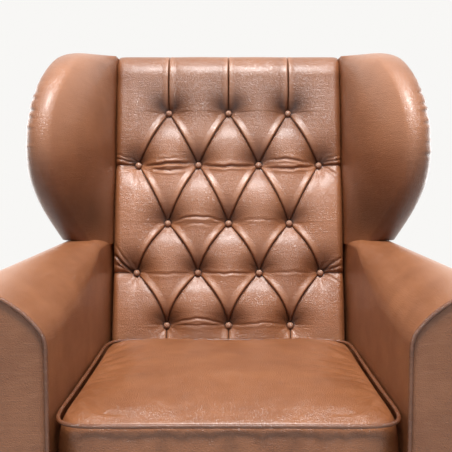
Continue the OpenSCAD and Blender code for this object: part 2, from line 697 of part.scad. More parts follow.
module cushion_piping() color(leather)
    for (z = [cushion_bottom + piping_r, cushion_top - piping_r])
        cord([for (k = [0:cushion_steps - 1])
            cushion_point(cushion_angle(k), z, -0.9, cushion_draw)], piping_r, [0, 0, 1], closed = true);

front_leg(-1);  // front_leg_left
front_leg(1);  // front_leg_right
rear_leg(-1);  // rear_leg_left
rear_leg(1);  // rear_leg_right
glides();
seat_rail_front();
seat_rail_back();
seat_rail_side(-1);  // seat_rail_left
seat_rail_side(1);  // seat_rail_right
corner_blocks();
webbing_lengthwise();
webbing_crosswise();
deck_pad();
dust_cover();
back_post(-1);  // back_post_left
back_post(1);  // back_post_right
crest_rail();
lower_back_rail();
back_webbing();
arm_stump(-1);  // arm_stump_left
arm_stump(1);  // arm_stump_right
arm_rail(-1);  // arm_rail_left
arm_rail(1);  // arm_rail_right
wing_frame(-1);  // wing_frame_left
wing_frame(1);  // wing_frame_right
back_pad();
back_buttons();
outside_back();
wing_pad(-1);  // wing_pad_left
wing_pad(1);  // wing_pad_right
outside_wing(-1);  // outside_wing_left
outside_wing(1);  // outside_wing_right
arm_pad(-1);  // arm_pad_left
arm_pad(1);  // arm_pad_right
arm_roll(-1);  // arm_roll_left
arm_roll(1);  // arm_roll_right
outside_arm(-1);  // outside_arm_left
outside_arm(1);  // outside_arm_right
arm_facing(-1);  // arm_facing_left
arm_facing(1);  // arm_facing_right
arm_piping(-1);  // arm_piping_left
arm_piping(1);  // arm_piping_right
front_border();
border_piping();
seat_cushion();
cushion_piping();
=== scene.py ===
import math

import bmesh
import bpy
import numpy as np
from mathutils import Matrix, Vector, geometry


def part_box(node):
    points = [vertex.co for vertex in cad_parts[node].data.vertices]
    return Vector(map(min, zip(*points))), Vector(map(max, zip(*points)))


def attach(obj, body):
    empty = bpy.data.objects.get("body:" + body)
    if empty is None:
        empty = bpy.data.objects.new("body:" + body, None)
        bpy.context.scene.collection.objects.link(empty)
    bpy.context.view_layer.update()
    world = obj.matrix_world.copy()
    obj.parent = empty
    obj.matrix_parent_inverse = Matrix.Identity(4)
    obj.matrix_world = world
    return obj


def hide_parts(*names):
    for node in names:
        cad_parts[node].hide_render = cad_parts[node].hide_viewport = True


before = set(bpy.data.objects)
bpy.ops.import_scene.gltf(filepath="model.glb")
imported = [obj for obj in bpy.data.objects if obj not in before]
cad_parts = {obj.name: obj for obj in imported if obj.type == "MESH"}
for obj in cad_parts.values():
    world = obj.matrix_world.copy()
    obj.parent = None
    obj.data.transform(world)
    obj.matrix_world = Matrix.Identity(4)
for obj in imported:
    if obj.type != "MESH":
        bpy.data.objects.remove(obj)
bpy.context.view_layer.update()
MM = 0.001
X, Y, Z = 0, 1, 2
LOW, HIGH = 0, 1


def reach(node, end, axis):
    """Lowest or highest coordinate of a CAD node along an axis, in millimetres."""
    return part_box(node)[end][axis] / MM


# Sizes read from the frame
soft_gap = 0.3
panel_thickness = 8
facing_thickness = 4
crest_drop = 8
overall_height = reach("outside_back", HIGH, Z) + crest_drop
rear_rake = math.radians(8)
rear_y = reach("outside_back", HIGH, Y) + crest_drop * math.tan(rear_rake)
seat_half = reach("front_border", HIGH, X) + soft_gap
front_y = reach("front_border", LOW, Y)
panel_x = reach("outside_arm_right", HIGH, X)
frame_x = panel_x - panel_thickness
facing_back_y = front_y + facing_thickness
rail_bottom = reach("seat_rail_front", LOW, Z)
rail_top = reach("seat_rail_front", HIGH, Z)
panel_foot = rail_bottom + 3
deck_top = reach("deck_pad", HIGH, Z)
post_top = reach("crest_rail", HIGH, Z)
pad_half = reach("back_pad", HIGH, X)

# Arms
arm_height = 661
arm_fall = 23
scroll_radius = 60
sweep_radius = 157
rear_roll_radius = 44
rear_curve = 23.5
neck_drop = 13
arm_stuffing = 28
arm_top_stuffing = 97
piping_r = 3.2
cord_sides = 12

# Back
back_foot_y = 105
back_recline = math.radians(12)
back_pad_thickness = 62
pad_bottom = 14
pad_fall = 5
pad_fullest = 380
pad_fall_run = 360
button_sink = 30
button_diameter = 14
button_pitch = 134
button_first_row = 176
button_row_gaps = [119, 131, 109, 114]
row_count = len(button_row_gaps) + 1
side_column = 3
crest_roll = 66
crest_tuck = 20
crown_depth = 2
# Bow of the folds under each row, and the sizes of pits, folds, lips and pillows
fold_bow = [0.02, 0.06, 0.13, 0.18]
pillow_proud = 5
pit_reach_above = 36
pit_reach_below = 50
fold_depth = 5
swell = 3
pillow_width = 9
swell_width = 30
lip_width = 1.6
lip_edge = 1.2
lip_spread = 16
lip_rise = 7
pleat_depth = 0.32
pleat_ring = 17
pleat_run = 9
# Sizes of the shade painted in the hollow over each button and along each fold line
painted_shade_core = 30
painted_shade_reach = 62
crease_shade_core = 0.55
edge_roll = 17

# Wings
wing_peak_height = 845
wing_reach = 45
wing_foot_y = 58
wing_half_width = 380
wing_foot_half_width = 337
wing_thickness = 60
wing_roll_in = math.radians(24)
wing_seam_turn = math.radians(20)
wing_board = 25
wing_top = overall_height - 6
wing_start = arm_height + soft_gap
wing_x = pad_half + 1
wing_edge = wing_thickness / 2
wing_cap_start = post_top + 3

# Legs
front_block = 58
rear_block = 46
rear_block_depth = 50
foot_width = 62
ankle_width = 29
rear_leg_rake = 52
glide_height = 4

# Seat
cushion_nose = 10
cushion_border = 146
cushion_crown = 18
cushion_draw = 4


def mix(a, b, t):
    """The value a share t of the way from a to b."""
    return a + (b - a) * t


def smooth(t):
    """A step from 0 to 1 that starts and ends level."""
    t = np.clip(t, 0, 1)
    return t * t * (3 - 2 * t)


def unit(t):
    """A number kept between 0 and 1."""
    return min(1, max(0, t))


def hand(side):
    """Which side of the chair a sign stands for: 1 is right, at +X, and -1 is left."""
    return "right" if side > 0 else "left"


# Tools for meshes

def in_scene(name, data):
    """A new object of the scene, at the origin."""
    thing = bpy.data.objects.new(name, data)
    bpy.context.scene.collection.objects.link(thing)
    return thing


def mesh_of(name, points, faces=()):
    """A mesh from points in millimetres."""
    mesh = bpy.data.meshes.new(name)
    corners = [tuple(p) for p in np.asarray(points, float) * MM]
    mesh.from_pydata(corners, [], [list(map(int, f)) for f in faces])
    return mesh


def make(name, points, faces, slot, nodes, body="chair", fill=None, crisp=None):
    """A mesh object from points in millimetres, riding on its body in place of its CAD nodes.
    With an angle in degrees, its faces are turned outwards and edges that bend by more stay crisp."""
    mesh = mesh_of(name, points, faces)
    mesh.validate()
    mesh.polygons.foreach_set("use_smooth", [True] * len(mesh.polygons))
    piece = in_scene(name, mesh)
    mesh.materials.append(finish_of[slot])
    register(piece, nodes, body)
    if crisp is not None:
        face_out(piece)
        mesh.set_sharp_from_angle(angle=math.radians(crisp))
    return piece


def face_out(piece):
    """Turns a closed mesh's faces outwards."""
    build = bmesh.new()
    build.from_mesh(piece.data)
    bmesh.ops.recalc_face_normals(build, faces=build.faces)
    build.to_mesh(piece.data)
    build.free()


def register(piece, nodes, body):
    """Puts a finished piece on its body and hides the CAD nodes that it stands in for."""
    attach(piece, body)
    if nodes:
        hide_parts(*nodes)


def ring_faces(count, around, looped=False):
    """Faces over rings of equal length, one after the other: capped at both ends, or joined in a loop."""
    faces = []
    for i in range(count if looped else count - 1):
        k = (i + 1) % count
        for j in range(around):
            m = (j + 1) % around
            faces.append((i * around + j, k * around + j, k * around + m, i * around + m))
    if not looped:
        faces.append(tuple(range(around)))
        faces.append(tuple((count - 1) * around + j for j in reversed(range(around))))
    return faces


def skin(name, rings, slot, nodes, **more):
    """A closed body over rings of equal length."""
    return make(name, np.concatenate(rings), ring_faces(len(rings), len(rings[0])), slot, nodes, **more)


def applied(piece, modifier):
    """Keeps a modifier's result as the piece's own plain mesh."""
    graph = bpy.context.evaluated_depsgraph_get()
    mesh = bpy.data.meshes.new_from_object(piece.evaluated_get(graph))
    piece.modifiers.remove(modifier)
    piece.data = mesh
    return mesh


def paint(piece, name, values):
    """Stores one number per point, for the materials to read."""
    layer = piece.data.attributes.new(name, "FLOAT", "POINT")
    layer.data.foreach_set("value", np.asarray(values, np.float32))


def between(a, b, count):
    """Points on a straight line, with its two ends."""
    return [tuple(mix(p, q, k / count) for p, q in zip(a, b)) for k in range(count + 1)]


def cord_rings(path, up, closed):
    """Rings square to a path, for a round cord."""
    path = np.asarray(path, float)
    count = len(path)
    before = np.roll(path, 1, 0) if closed else path[[max(i - 1, 0) for i in range(count)]]
    after = np.roll(path, -1, 0) if closed else path[[min(i + 1, count - 1) for i in range(count)]]
    along = after - before
    along /= np.linalg.norm(along, axis=1)[:, None]
    side = np.cross(along, up)
    side /= np.linalg.norm(side, axis=1)[:, None]
    over = np.cross(side, along)
    angles = [2 * math.pi * k / cord_sides for k in range(cord_sides)]
    return [path[i] + np.array([piping_r * (math.cos(a) * side[i] + math.sin(a) * over[i]) for a in angles])
            for i in range(count)]


def cord(name, paths, nodes, up, closed=False, **more):
    """One piece of round piping along one or more paths."""
    points = []
    faces = []
    for path in paths:
        rings = cord_rings(path, up, closed)
        start = sum(len(p) for p in points)
        faces += [tuple(i + start for i in f) for f in ring_faces(len(rings), cord_sides, closed)]
        points.append(np.concatenate(rings))
    return make(name, np.concatenate(points), faces, "leather_piping", nodes, **more)


def resample(path, step, closed=False):
    """The same line with points about one step apart."""
    path = np.asarray(path, float)
    if closed:
        path = np.vstack([path, path[:1]])
    lengths = np.concatenate([[0], np.cumsum(np.linalg.norm(np.diff(path, axis=0), axis=1))])
    count = max(2, int(round(lengths[-1] / step)))
    places = np.linspace(0, lengths[-1], count + 1)
    if closed:
        places = places[:-1]
    return np.stack([np.interp(places, lengths, path[:, k]) for k in range(path.shape[1])], 1)


def distance_to(points, outline):
    """Distance of each flat point to a closed outline."""
    outline = np.asarray(outline, float)
    best = np.full(len(points), np.inf)
    for a, b in zip(outline, np.roll(outline, -1, 0)):
        way = b - a
        length2 = max(way @ way, 1e-9)
        t = np.clip(((points - a) @ way) / length2, 0, 1)
        best = np.minimum(best, np.linalg.norm(points - (a + t[:, None] * way), axis=1))
    return best


def grid_over(outline, start, step):
    """Points of a square grid over an outline's box, beginning a little inside its low corner."""
    low, high = outline.min(0), outline.max(0)
    return np.array([(x, y) for x in np.arange(low[0] + start, high[0], step)
                     for y in np.arange(low[1] + start, high[1], step)])


def plate(name, outline, inner, shape, slot, nodes, **more):
    """A closed plate inside an outline. Its two faces come from a function shape(flat, depth), which is given
    flat points and their distances to the outline."""
    flat = [Vector(p) for p in outline] + [Vector(p) for p in inner]
    edges = [(k, (k + 1) % len(outline)) for k in range(len(outline))]
    verts, _, tris, _, _, _ = geometry.delaunay_2d_cdt(flat, edges, [], 1, 1e-5)
    verts = np.array([tuple(v) for v in verts])
    count = len(verts)
    one_face, other_face = shape(verts, distance_to(verts, outline))
    faces = [tuple(t) for t in tris] + [tuple(i + count for i in reversed(t)) for t in tris]
    pairs = dict.fromkeys((a, b) for t in tris for a, b in zip(t, list(t[1:]) + [t[0]]))
    faces += [(b, a, a + count, b + count) for a, b in pairs if (b, a) not in pairs]
    return make(name, np.array(one_face + other_face), faces, slot, nodes, crisp=50, **more)


def panel(name, outline, place, thickness, nodes, crown, step, corner=2.5, slot="leather", **more):
    """A flat panel with round edges, full by its crown. A function place(u, v, out) puts its flat points in
    space, out of its back plane."""
    fullness_run = 14
    outline = resample(outline, step * 0.6, closed=True)
    grid = grid_over(outline, step / 2, step)
    inner = grid[distance_to(grid, outline) > step * 0.55]

    def shape(flat, depth):
        edge = np.clip(1 - depth / corner, 0, 1)
        out = (thickness + crown * (1 - np.exp(-depth / fullness_run))
               - corner * (1 - np.sqrt(1 - edge * edge)))
        return [place(u, v, h) for (u, v), h in zip(flat, out)], [place(u, v, 0) for u, v in flat]

    plate(name, outline, inner, shape, slot, nodes, **more)


# Finishes

def linear(code):
    """An sRGB hex colour as linear RGBA."""
    parts = [int(code[k:k + 2], 16) / 255 for k in (1, 3, 5)]
    return [c / 12.92 if c <= 0.04045 else ((c + 0.055) / 1.055) ** 2.4 for c in parts] + [1]


def add(tree, kind, inputs=None, **settings):
    """A node with its settings. Its inputs are given as values or as sockets to link."""
    node = tree.nodes.new(kind)
    for name, value in settings.items():
        setattr(node, name, value)
    for key, value in (inputs or {}).items():
        if isinstance(value, bpy.types.NodeSocket):
            tree.links.new(value, node.inputs[key])
        else:
            node.inputs[key].default_value = value
    return node


def clean_tree(owner):
    """The node tree of a material or a world, emptied."""
    owner.use_nodes = True
    owner.node_tree.nodes.clear()
    return owner.node_tree


def blank_finish(name, values):
    """A material with a Principled shader of these values; its node tree, its shader and the place on the
    object go with it."""
    material = bpy.data.materials.new(name)
    tree = clean_tree(material)
    shader = add(tree, "ShaderNodeBsdfPrincipled", values)
    add(tree, "ShaderNodeOutputMaterial", {"Surface": shader.outputs["BSDF"]})
    return material, tree, shader, add(tree, "ShaderNodeTexCoord").outputs["Object"]


def coloured(tree, base, layers):
    """Socket of a colour laid on in layers. Each layer has its pattern's value, the values at which it begins
    and is all there, its strongest share and its colour."""
    hue = linear(base)
    for value, begins, full, share, colour in layers:
        laid = add(tree, "ShaderNodeMapRange", {"Value": value, "From Min": begins, "From Max": full,
                                                "To Max": share}).outputs[0]
        mixed = add(tree, "ShaderNodeMix", {0: laid, 6: hue, 7: linear(colour)}, data_type="RGBA")
        hue = mixed.outputs[2]
    return hue


def dress(tree, shader, hue, relief=None, gloss=None):
    """Gives a shader its colour. A relief is a height with its strength and its depth in millimetres.
    A gloss is a pattern with the two values of roughness that it moves between."""
    tree.links.new(hue, shader.inputs["Base Color"])
    if relief is not None:
        height, strength, depth = relief
        bump = add(tree, "ShaderNodeBump", {"Height": height, "Strength": strength, "Distance": depth * MM})
        tree.links.new(bump.outputs["Normal"], shader.inputs["Normal"])
    if gloss is not None:
        pattern, low, high = gloss
        shine = add(tree, "ShaderNodeMapRange", {"Value": pattern, "From Min": 0.3, "From Max": 0.7,
                                                 "To Min": low, "To Max": high})
        tree.links.new(shine.outputs[0], shader.inputs["Roughness"])


def hide_leather(name, tone, deep, worn_and_highlight_tone, fold, rough, grain_mm):
    """Pigmented cow hide with a sprayed semi-gloss finish: soft broad highlights, cloudy colour and faint
    creases across the hide. Where "fold" is high the colour is darker: shade painted into folds and hollows,
    with some wax there. Where "wear_and_highlight" is high it is paler: painted highlights, with some
    rubbing, which also leaves the hide smoother there.
    The real pebbles are about 1 mm wide; they are drawn wider so that they show."""
    material, tree, shader, place = blank_finish(name, {
        "IOR": 1.5, "Specular IOR Level": 0.6, "Coat Weight": 0.32, "Coat Roughness": 0.28})
    cloud = add(tree, "ShaderNodeTexNoise", {"Vector": place, "Scale": 11, "Detail": 5,
                                             "Roughness": 0.6}).outputs["Fac"]
    across = add(tree, "ShaderNodeMapping", {"Vector": place, "Scale": (24, 30, 170)}).outputs["Vector"]
    streak = add(tree, "ShaderNodeTexNoise", {"Vector": across, "Scale": 1, "Detail": 6, "Roughness": 0.62,
                                              "Distortion": 0.8}).outputs["Fac"]
    pebble = add(tree, "ShaderNodeTexVoronoi", {"Vector": place, "Scale": 1 / (grain_mm * MM)},
                 feature="DISTANCE_TO_EDGE").outputs["Distance"]
    pores = add(tree, "ShaderNodeTexNoise", {"Vector": place, "Scale": 420, "Detail": 3}).outputs["Fac"]
    folds = add(tree, "ShaderNodeAttribute", attribute_name="fold", attribute_type="GEOMETRY").outputs["Fac"]
    wear_and_highlight = add(tree, "ShaderNodeAttribute", attribute_name="wear_and_highlight", attribute_type="GEOMETRY").outputs["Fac"]
    # The last two layers paint light: the paler tone is a painted highlight with some rubbing, the darker one
    # is painted shade with some wax.
    hue = coloured(tree, tone, [
        (cloud, 0.35, 0.68, 1, deep), (streak, 0.52, 0.78, 0.35, worn_and_highlight_tone), (streak, 0.46, 0.28, 0.4, deep),
        (wear_and_highlight, 0, 1, 1, worn_and_highlight_tone), (folds, 0, 1, 1, fold)])
    cells = add(tree, "ShaderNodeMapRange", {"Value": pebble, "From Max": 0.32}).outputs[0]
    height = 0.0
    for pattern, weight in ((cells, 0.55), (pores, 0.5), (streak, 1.05)):
        height = add(tree, "ShaderNodeMath", {0: pattern, 1: weight, 2: height},
                     operation="MULTIPLY_ADD").outputs[0]
    left = add(tree, "ShaderNodeMapRange", {"Value": wear_and_highlight, "To Min": 1, "To Max": 0.4}).outputs[0]
    height = add(tree, "ShaderNodeMath", {0: height, 1: left}, operation="MULTIPLY").outputs[0]
    dress(tree, shader, hue, (height, 0.85, 0.9), (cloud, rough - 0.05, rough + 0.06))
    return material


def timber(name, early, late, rough, coat, axis, ring_mm):
    """Planed timber along one axis: long fibres, growth rings that wander, and short dark flecks."""
    material, tree, shader, place = blank_finish(name, {"Coat Weight": coat, "Coat Roughness": 0.14})
    ring_scale = [1 / (ring_mm * MM)] * 3
    ring_scale[axis] = 1 / (ring_mm * 26 * MM)
    fibre_scale = [1 / (0.9 * MM)] * 3
    fibre_scale[axis] = 1 / (22 * MM)
    long_way = add(tree, "ShaderNodeMapping", {"Vector": place, "Scale": ring_scale}).outputs["Vector"]
    fine_way = add(tree, "ShaderNodeMapping", {"Vector": place, "Scale": fibre_scale}).outputs["Vector"]
    rings = add(tree, "ShaderNodeTexNoise", {"Vector": long_way, "Scale": 0.5, "Detail": 3,
                                             "Distortion": 1.6}).outputs["Fac"]
    fibre = add(tree, "ShaderNodeTexNoise", {"Vector": fine_way, "Scale": 1, "Detail": 2}).outputs["Fac"]
    hue = coloured(tree, early, [(rings, 0.35, 0.65, 1, late), (fibre, 0.5, 0.72, 0.5, late)])
    dress(tree, shader, hue, (fibre, 0.2, 0.3), (fibre, rough, rough + 0.1))
    return material


def woven(name, thread, shade, thread_mm):
    """Plain-woven cloth: threads over and under by turns, with fuzz that dulls the light.
    The threads are drawn thicker than life where they would not show."""
    material, tree, shader, place = blank_finish(name, {
        "Roughness": 0.9, "Sheen Weight": 0.25, "Sheen Roughness": 0.6})
    turns = 0.25 / (thread_mm * MM)
    weft, warp = [
        add(tree, "ShaderNodeTexWave", {"Vector": place, "Scale": turns, "Distortion": 0.6, "Detail": 2},
            bands_direction=way).outputs["Fac"]
        for way in "XY"]
    height = add(tree, "ShaderNodeMath", {0: weft, 1: warp}, operation="MAXIMUM").outputs[0]
    slub = add(tree, "ShaderNodeTexNoise", {"Vector": place, "Scale": 160, "Detail": 4}).outputs["Fac"]
    hue = coloured(tree, shade, [(height, 0, 1, 1, thread), (slub, 0.4, 0.7, 0.45, shade)])
    dress(tree, shader, hue, (height, 0.6, 0.6))
    return material


def pressed_steel(name):
    """Zinc-plated pressed steel: a dull grey shine with fine scuffs from the floor."""
    material, tree, shader, place = blank_finish(name, {"Metallic": 1})
    scuff = add(tree, "ShaderNodeTexNoise", {"Vector": place, "Scale": 900, "Detail": 4,
                                             "Roughness": 0.7}).outputs["Fac"]
    hue = coloured(tree, "#b4b6b8", [(scuff, 0, 1, 1, "#85878a")])
    dress(tree, shader, hue, gloss=(scuff, 0.28, 0.5))
    return material


finish_of = {
    # Each hide's fourth colour is the pale of its streaks, of rubbing and of painted highlights; its fifth is
    # the dark of painted shade, with some wax.
    "leather": hide_leather("pigmented_cow_leather", "#a0653f", "#87502d", "#b98262", "#3c1d0d", 0.33, 2.8),
    "leather_buttons": hide_leather("button_leather", "#b5866c", "#99684f", "#cba58c", "#4a2416", 0.24, 1.8),
    "leather_piping": hide_leather("piping_leather", "#875234", "#6c3e26", "#b07f5f", "#38190c", 0.25, 1.8),
    "stained_wood": timber("stained_hardwood", "#4b2717", "#25110a", 0.32, 0.5, Z, 7),
    "webbing": woven("jute_webbing", "#b99b68", "#6f5633", 2.6),
    "lining": woven("lining_cloth", "#35302b", "#191613", 1.2),
    "glide_steel": pressed_steel("pressed_steel"),
}

# The hidden pieces keep their CAD shapes and only take a finish; beech has its grain along each piece
finish_of_node = {
    "webbing_lengthwise": finish_of["webbing"], "webbing_crosswise": finish_of["webbing"],
    "back_webbing": finish_of["webbing"], "glides": finish_of["glide_steel"],
}
beech_nodes = {
    X: ["seat_rail_front", "seat_rail_back", "corner_blocks", "crest_rail", "lower_back_rail"],
    Y: ["seat_rail_left", "seat_rail_right", "arm_rail_left", "arm_rail_right"],
    Z: ["back_post_left", "back_post_right", "arm_stump_left", "arm_stump_right", "wing_frame_left",
        "wing_frame_right"],
}
for axis, nodes in beech_nodes.items():
    beech = timber("planed_beech_" + "xyz"[axis], "#d8b587", "#bd915f", 0.55, 0.0, axis, 8)
    finish_of_node.update(dict.fromkeys(nodes, beech))
for node, finish in finish_of_node.items():
    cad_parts[node].data.materials.clear()
    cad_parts[node].data.materials.append(finish)


# Camera, lamps and stage

def lamp(name, place, target, size, power):
    """A square white lamp that looks at a point: metres and watts."""
    light = bpy.data.lights.new(name, "AREA")
    light.size = size
    light.energy = power
    holder = in_scene(name, light)
    holder.location = place
    holder.rotation_euler = (Vector(target) - Vector(place)).to_track_quat("-Z", "Y").to_euler()


picture_width = 452
focal_pixels = 753
sensor = 36
chair_middle_pixel = 228.5
camera = in_scene("camera", bpy.data.cameras.new("camera"))
camera.data.sensor_width = sensor
camera.data.lens = sensor * focal_pixels / picture_width
camera.data.shift_x = (picture_width / 2 - chair_middle_pixel) / picture_width
camera.location = (0, -1.44, 0.806)
camera.rotation_euler = (math.radians(85.6), 0, 0)
bpy.context.scene.camera = camera
bpy.context.scene.view_settings.view_transform = "Standard"

lamp("softbox_above", (0.0, -1.0, 3.4), (0, 0.1, 0.7), 1.1, 142)
lamp("softbox_front", (-0.3, -3.4, 1.3), (0, 0.2, 0.7), 1.8, 7)
lamp("softbox_rear_left", (-2.1, 1.6, 0.9), (0, 0.1, 0.6), 1.6, 30)
lamp("softbox_rear_right", (2.1, 1.6, 0.9), (0, 0.1, 0.6), 1.6, 30)


def seen_ray(tree):
    """Socket that is 1 for what the camera sees, straight or mirrored, and 0 for light on the object."""
    rays = add(tree, "ShaderNodeLightPath").outputs
    seen = rays["Is Camera Ray"]
    for kind in ("Is Glossy Ray", "Is Transmission Ray"):
        seen = add(tree, "ShaderNodeMath", {0: seen, 1: rays[kind]}, operation="MAXIMUM").outputs[0]
    return seen


backdrop = "#f8f7f5"
ambient_strength = 0.08
world = bpy.data.worlds.new("studio")
tree = clean_tree(world)
strength = add(tree, "ShaderNodeMapRange", {"Value": seen_ray(tree), "To Min": ambient_strength}).outputs[0]
sky = add(tree, "ShaderNodeBackground", {"Color": linear(backdrop), "Strength": strength})
add(tree, "ShaderNodeOutputWorld", {"Surface": sky.outputs[0]})
bpy.context.scene.world = world

# The floor runs into the backdrop without a line: away from the chair it is as bright as the backdrop.
# It throws less light up on the chair than it shows, because a deep studio floor falls off in light.
floor_half = 6000
corners = [(floor_half * x, floor_half * y, 0) for x, y in ((-1, -1), (1, -1), (1, 1), (-1, 1))]
floor = in_scene("floor", mesh_of("floor", corners, [(0, 1, 2, 3)]))
floor_paint = bpy.data.materials.new("matt_white_floor_paint")
tree = clean_tree(floor_paint)
seen = seen_ray(tree)
matt = add(tree, "ShaderNodeBsdfDiffuse", {"Color": coloured(tree, "#a9a7a4", [(seen, 0, 1, 1, "#eceae6")])})
glow = add(tree, "ShaderNodeEmission", {"Color": linear(backdrop), "Strength": 1.0})
place = add(tree, "ShaderNodeTexCoord").outputs["Object"]
away = add(tree, "ShaderNodeVectorMath", {0: place}, operation="LENGTH").outputs["Value"]
far = add(tree, "ShaderNodeMapRange", {"Value": away, "From Min": 0.8, "From Max": 3.0,
                                       "To Min": 0.6}).outputs[0]
share = add(tree, "ShaderNodeMath", {0: seen, 1: far}, operation="MULTIPLY").outputs[0]
surface = add(tree, "ShaderNodeMixShader", {0: share, 1: matt.outputs[0], 2: glow.outputs[0]})
add(tree, "ShaderNodeOutputMaterial", {"Surface": surface.outputs[0]})
floor.data.materials.append(floor_paint)


# Buttoned back

def rear_plane(z):
    """Y of the outside back at a height."""
    return rear_y - (overall_height - z) * math.tan(rear_rake)


def post_front(z):
    """Y of the front of the back posts at a height."""
    post_depth = 45
    return rear_plane(z) - panel_thickness - post_depth / math.cos(rear_rake)


def back_plane(z):
    """Y of the inside back's crowns at a height."""
    return back_foot_y + (z - deck_top) * math.tan(back_recline)


def on_back(x, w, v):
    """Points at x, a distance w up the back and a depth v into it."""
    x, w, v = np.broadcast_arrays(x, w, v)
    return np.stack([x, back_foot_y + w * math.sin(back_recline) + v * math.cos(back_recline),
                     deck_top + w * math.cos(back_recline) - v * math.sin(back_recline)], -1)


def row_height(t):
    """Distance of a row of buttons up the pad, counted down from the top one."""
    return button_first_row + sum(button_row_gaps[t:])


top_row = row_height(0)
half_pitch = button_pitch / 2
crest_turn = overall_height - crest_roll
crest_depth = (rear_plane(crest_turn) - back_plane(crest_turn)) * math.cos(back_recline) - panel_thickness - 2
crest_middle = crown_depth + (crest_depth - crown_depth) / 2
crest_start = (overall_height - deck_top + crest_middle * math.sin(back_recline)
               - math.hypot(crest_roll * math.cos(back_recline), crest_middle * math.sin(back_recline))
               ) / math.cos(back_recline)


def row_place(w):
    """Rows counted down from the top one, as a number with its share of the way to the next row."""
    heights = [row_height(t) for t in range(row_count)]
    return np.interp(w, heights[::-1], list(range(row_count))[::-1])


def row_over(t):
    """The row of buttons over a place between two rows."""
    return np.clip(np.floor(t), 0, row_count - 2).astype(int)


def bow(t):
    """Rows with each fold's bow: folds leave a button flat and reach the next one steeply, most low down."""
    first = row_over(t)
    return t + np.array(fold_bow)[first] * np.sin(math.pi * (t - first))


def bow_rate(t):
    """Half pitches that a fold moves sideways in one row."""
    first = row_over(t)
    return 1 + np.array(fold_bow)[first] * math.pi * np.cos(math.pi * (t - first))


def to_even(value):
    """Signed distance to the nearest even number."""
    return (value + 1) % 2 - 1


def fold_sides(x, w):
    """Distances to the two families of folds, more than 0 under a fold and less than 0 over it.
    The third value is the share of the way from one row to the next."""
    s = np.abs(x) / half_pitch
    side = smooth((s - side_column) / 0.25)
    s = np.clip(s, 0, side_column)
    t = row_place(w)
    gap = np.array(button_row_gaps)[row_over(t)]
    slant = gap / np.hypot(gap, half_pitch * bow_rate(t))
    inside = (w > row_height(row_count - 1)) & (w < top_row)
    scale = mix(np.where(inside, half_pitch * slant, half_pitch), gap, side)
    b = bow(t)
    return to_even(s + b) * scale, -to_even(s - b) * scale, t - np.floor(t)


def button_places():
    """Places of the buttons on the back: across it, and up it."""
    return [(s * half_pitch, row_height(t)) for t in range(row_count)
            for s in ([-3, -1, 1, 3] if t % 2 else [-2, 0, 2])]


def pits(x, w):
    """How far the twine of the buttons draws the hide in, 1 at a button. With it go the distance to the
    nearest button, the shade painted in the hollow over each button, and the small pleats round the buttons.
    Pillows are fuller at their lower ends, so a pit is steeper above its button than below."""
    pull = np.zeros(np.broadcast(x, w).shape)
    nearest = np.full(pull.shape, np.inf)
    hollow = np.zeros(pull.shape)
    pleats = np.zeros(pull.shape)
    for button_x, button_w in button_places():
        r = np.hypot(x - button_x, w - button_w)
        up = (w - button_w) / np.maximum(r, 0.01)
        pit_reach = mix(pit_reach_below, pit_reach_above, (1 + up) / 2)
        pull = pull + np.exp(-(r / pit_reach) ** 1.5)
        nearest = np.minimum(nearest, r)
        # Shade painted in the hollow over each button, where the hide faces down
        dusk = 0.8 * np.exp(-(r / painted_shade_core) ** 2) + 0.45 * np.exp(-(r / painted_shade_reach) ** 2)
        hollow = hollow + np.clip(up + 0.3, 0, 1) * dusk
        turn = np.arctan2(w - button_w, x - button_x)
        rays = np.sin(7 * turn + button_x) + 0.8 * np.sin(11 * turn + button_w)
        pleats = pleats + pleat_depth * rays * np.exp(-((r - pleat_ring) / pleat_run) ** 2)
    return np.minimum(pull, 1), nearest, np.minimum(hollow, 1), pleats


def crease(x, w, middle, height, half, width, depth, rise=0, slope=0):
    """Depth of one wrinkle: a valley between two low ridges, arched by rise, fading at both ends."""
    u = (x - middle) / half
    waver = 0.9 * np.sin((x - middle) / 8.5 + height) + 0.5 * np.sin((x - middle) / 4.3 + 2 * height)
    line = height + rise * (1 - u * u) + slope * (x - middle) + waver * (1 - u * u)
    d = (w - line) / width
    fade = np.clip(1 - u * u, 0, None) ** 0.8
    ridges = 0.5 * np.exp(-((d + 2.0) / 1.1) ** 2) + 0.3 * np.exp(-((d - 2.2) / 1.2) ** 2)
    return depth * fade * (np.exp(-d * d) - ridges)


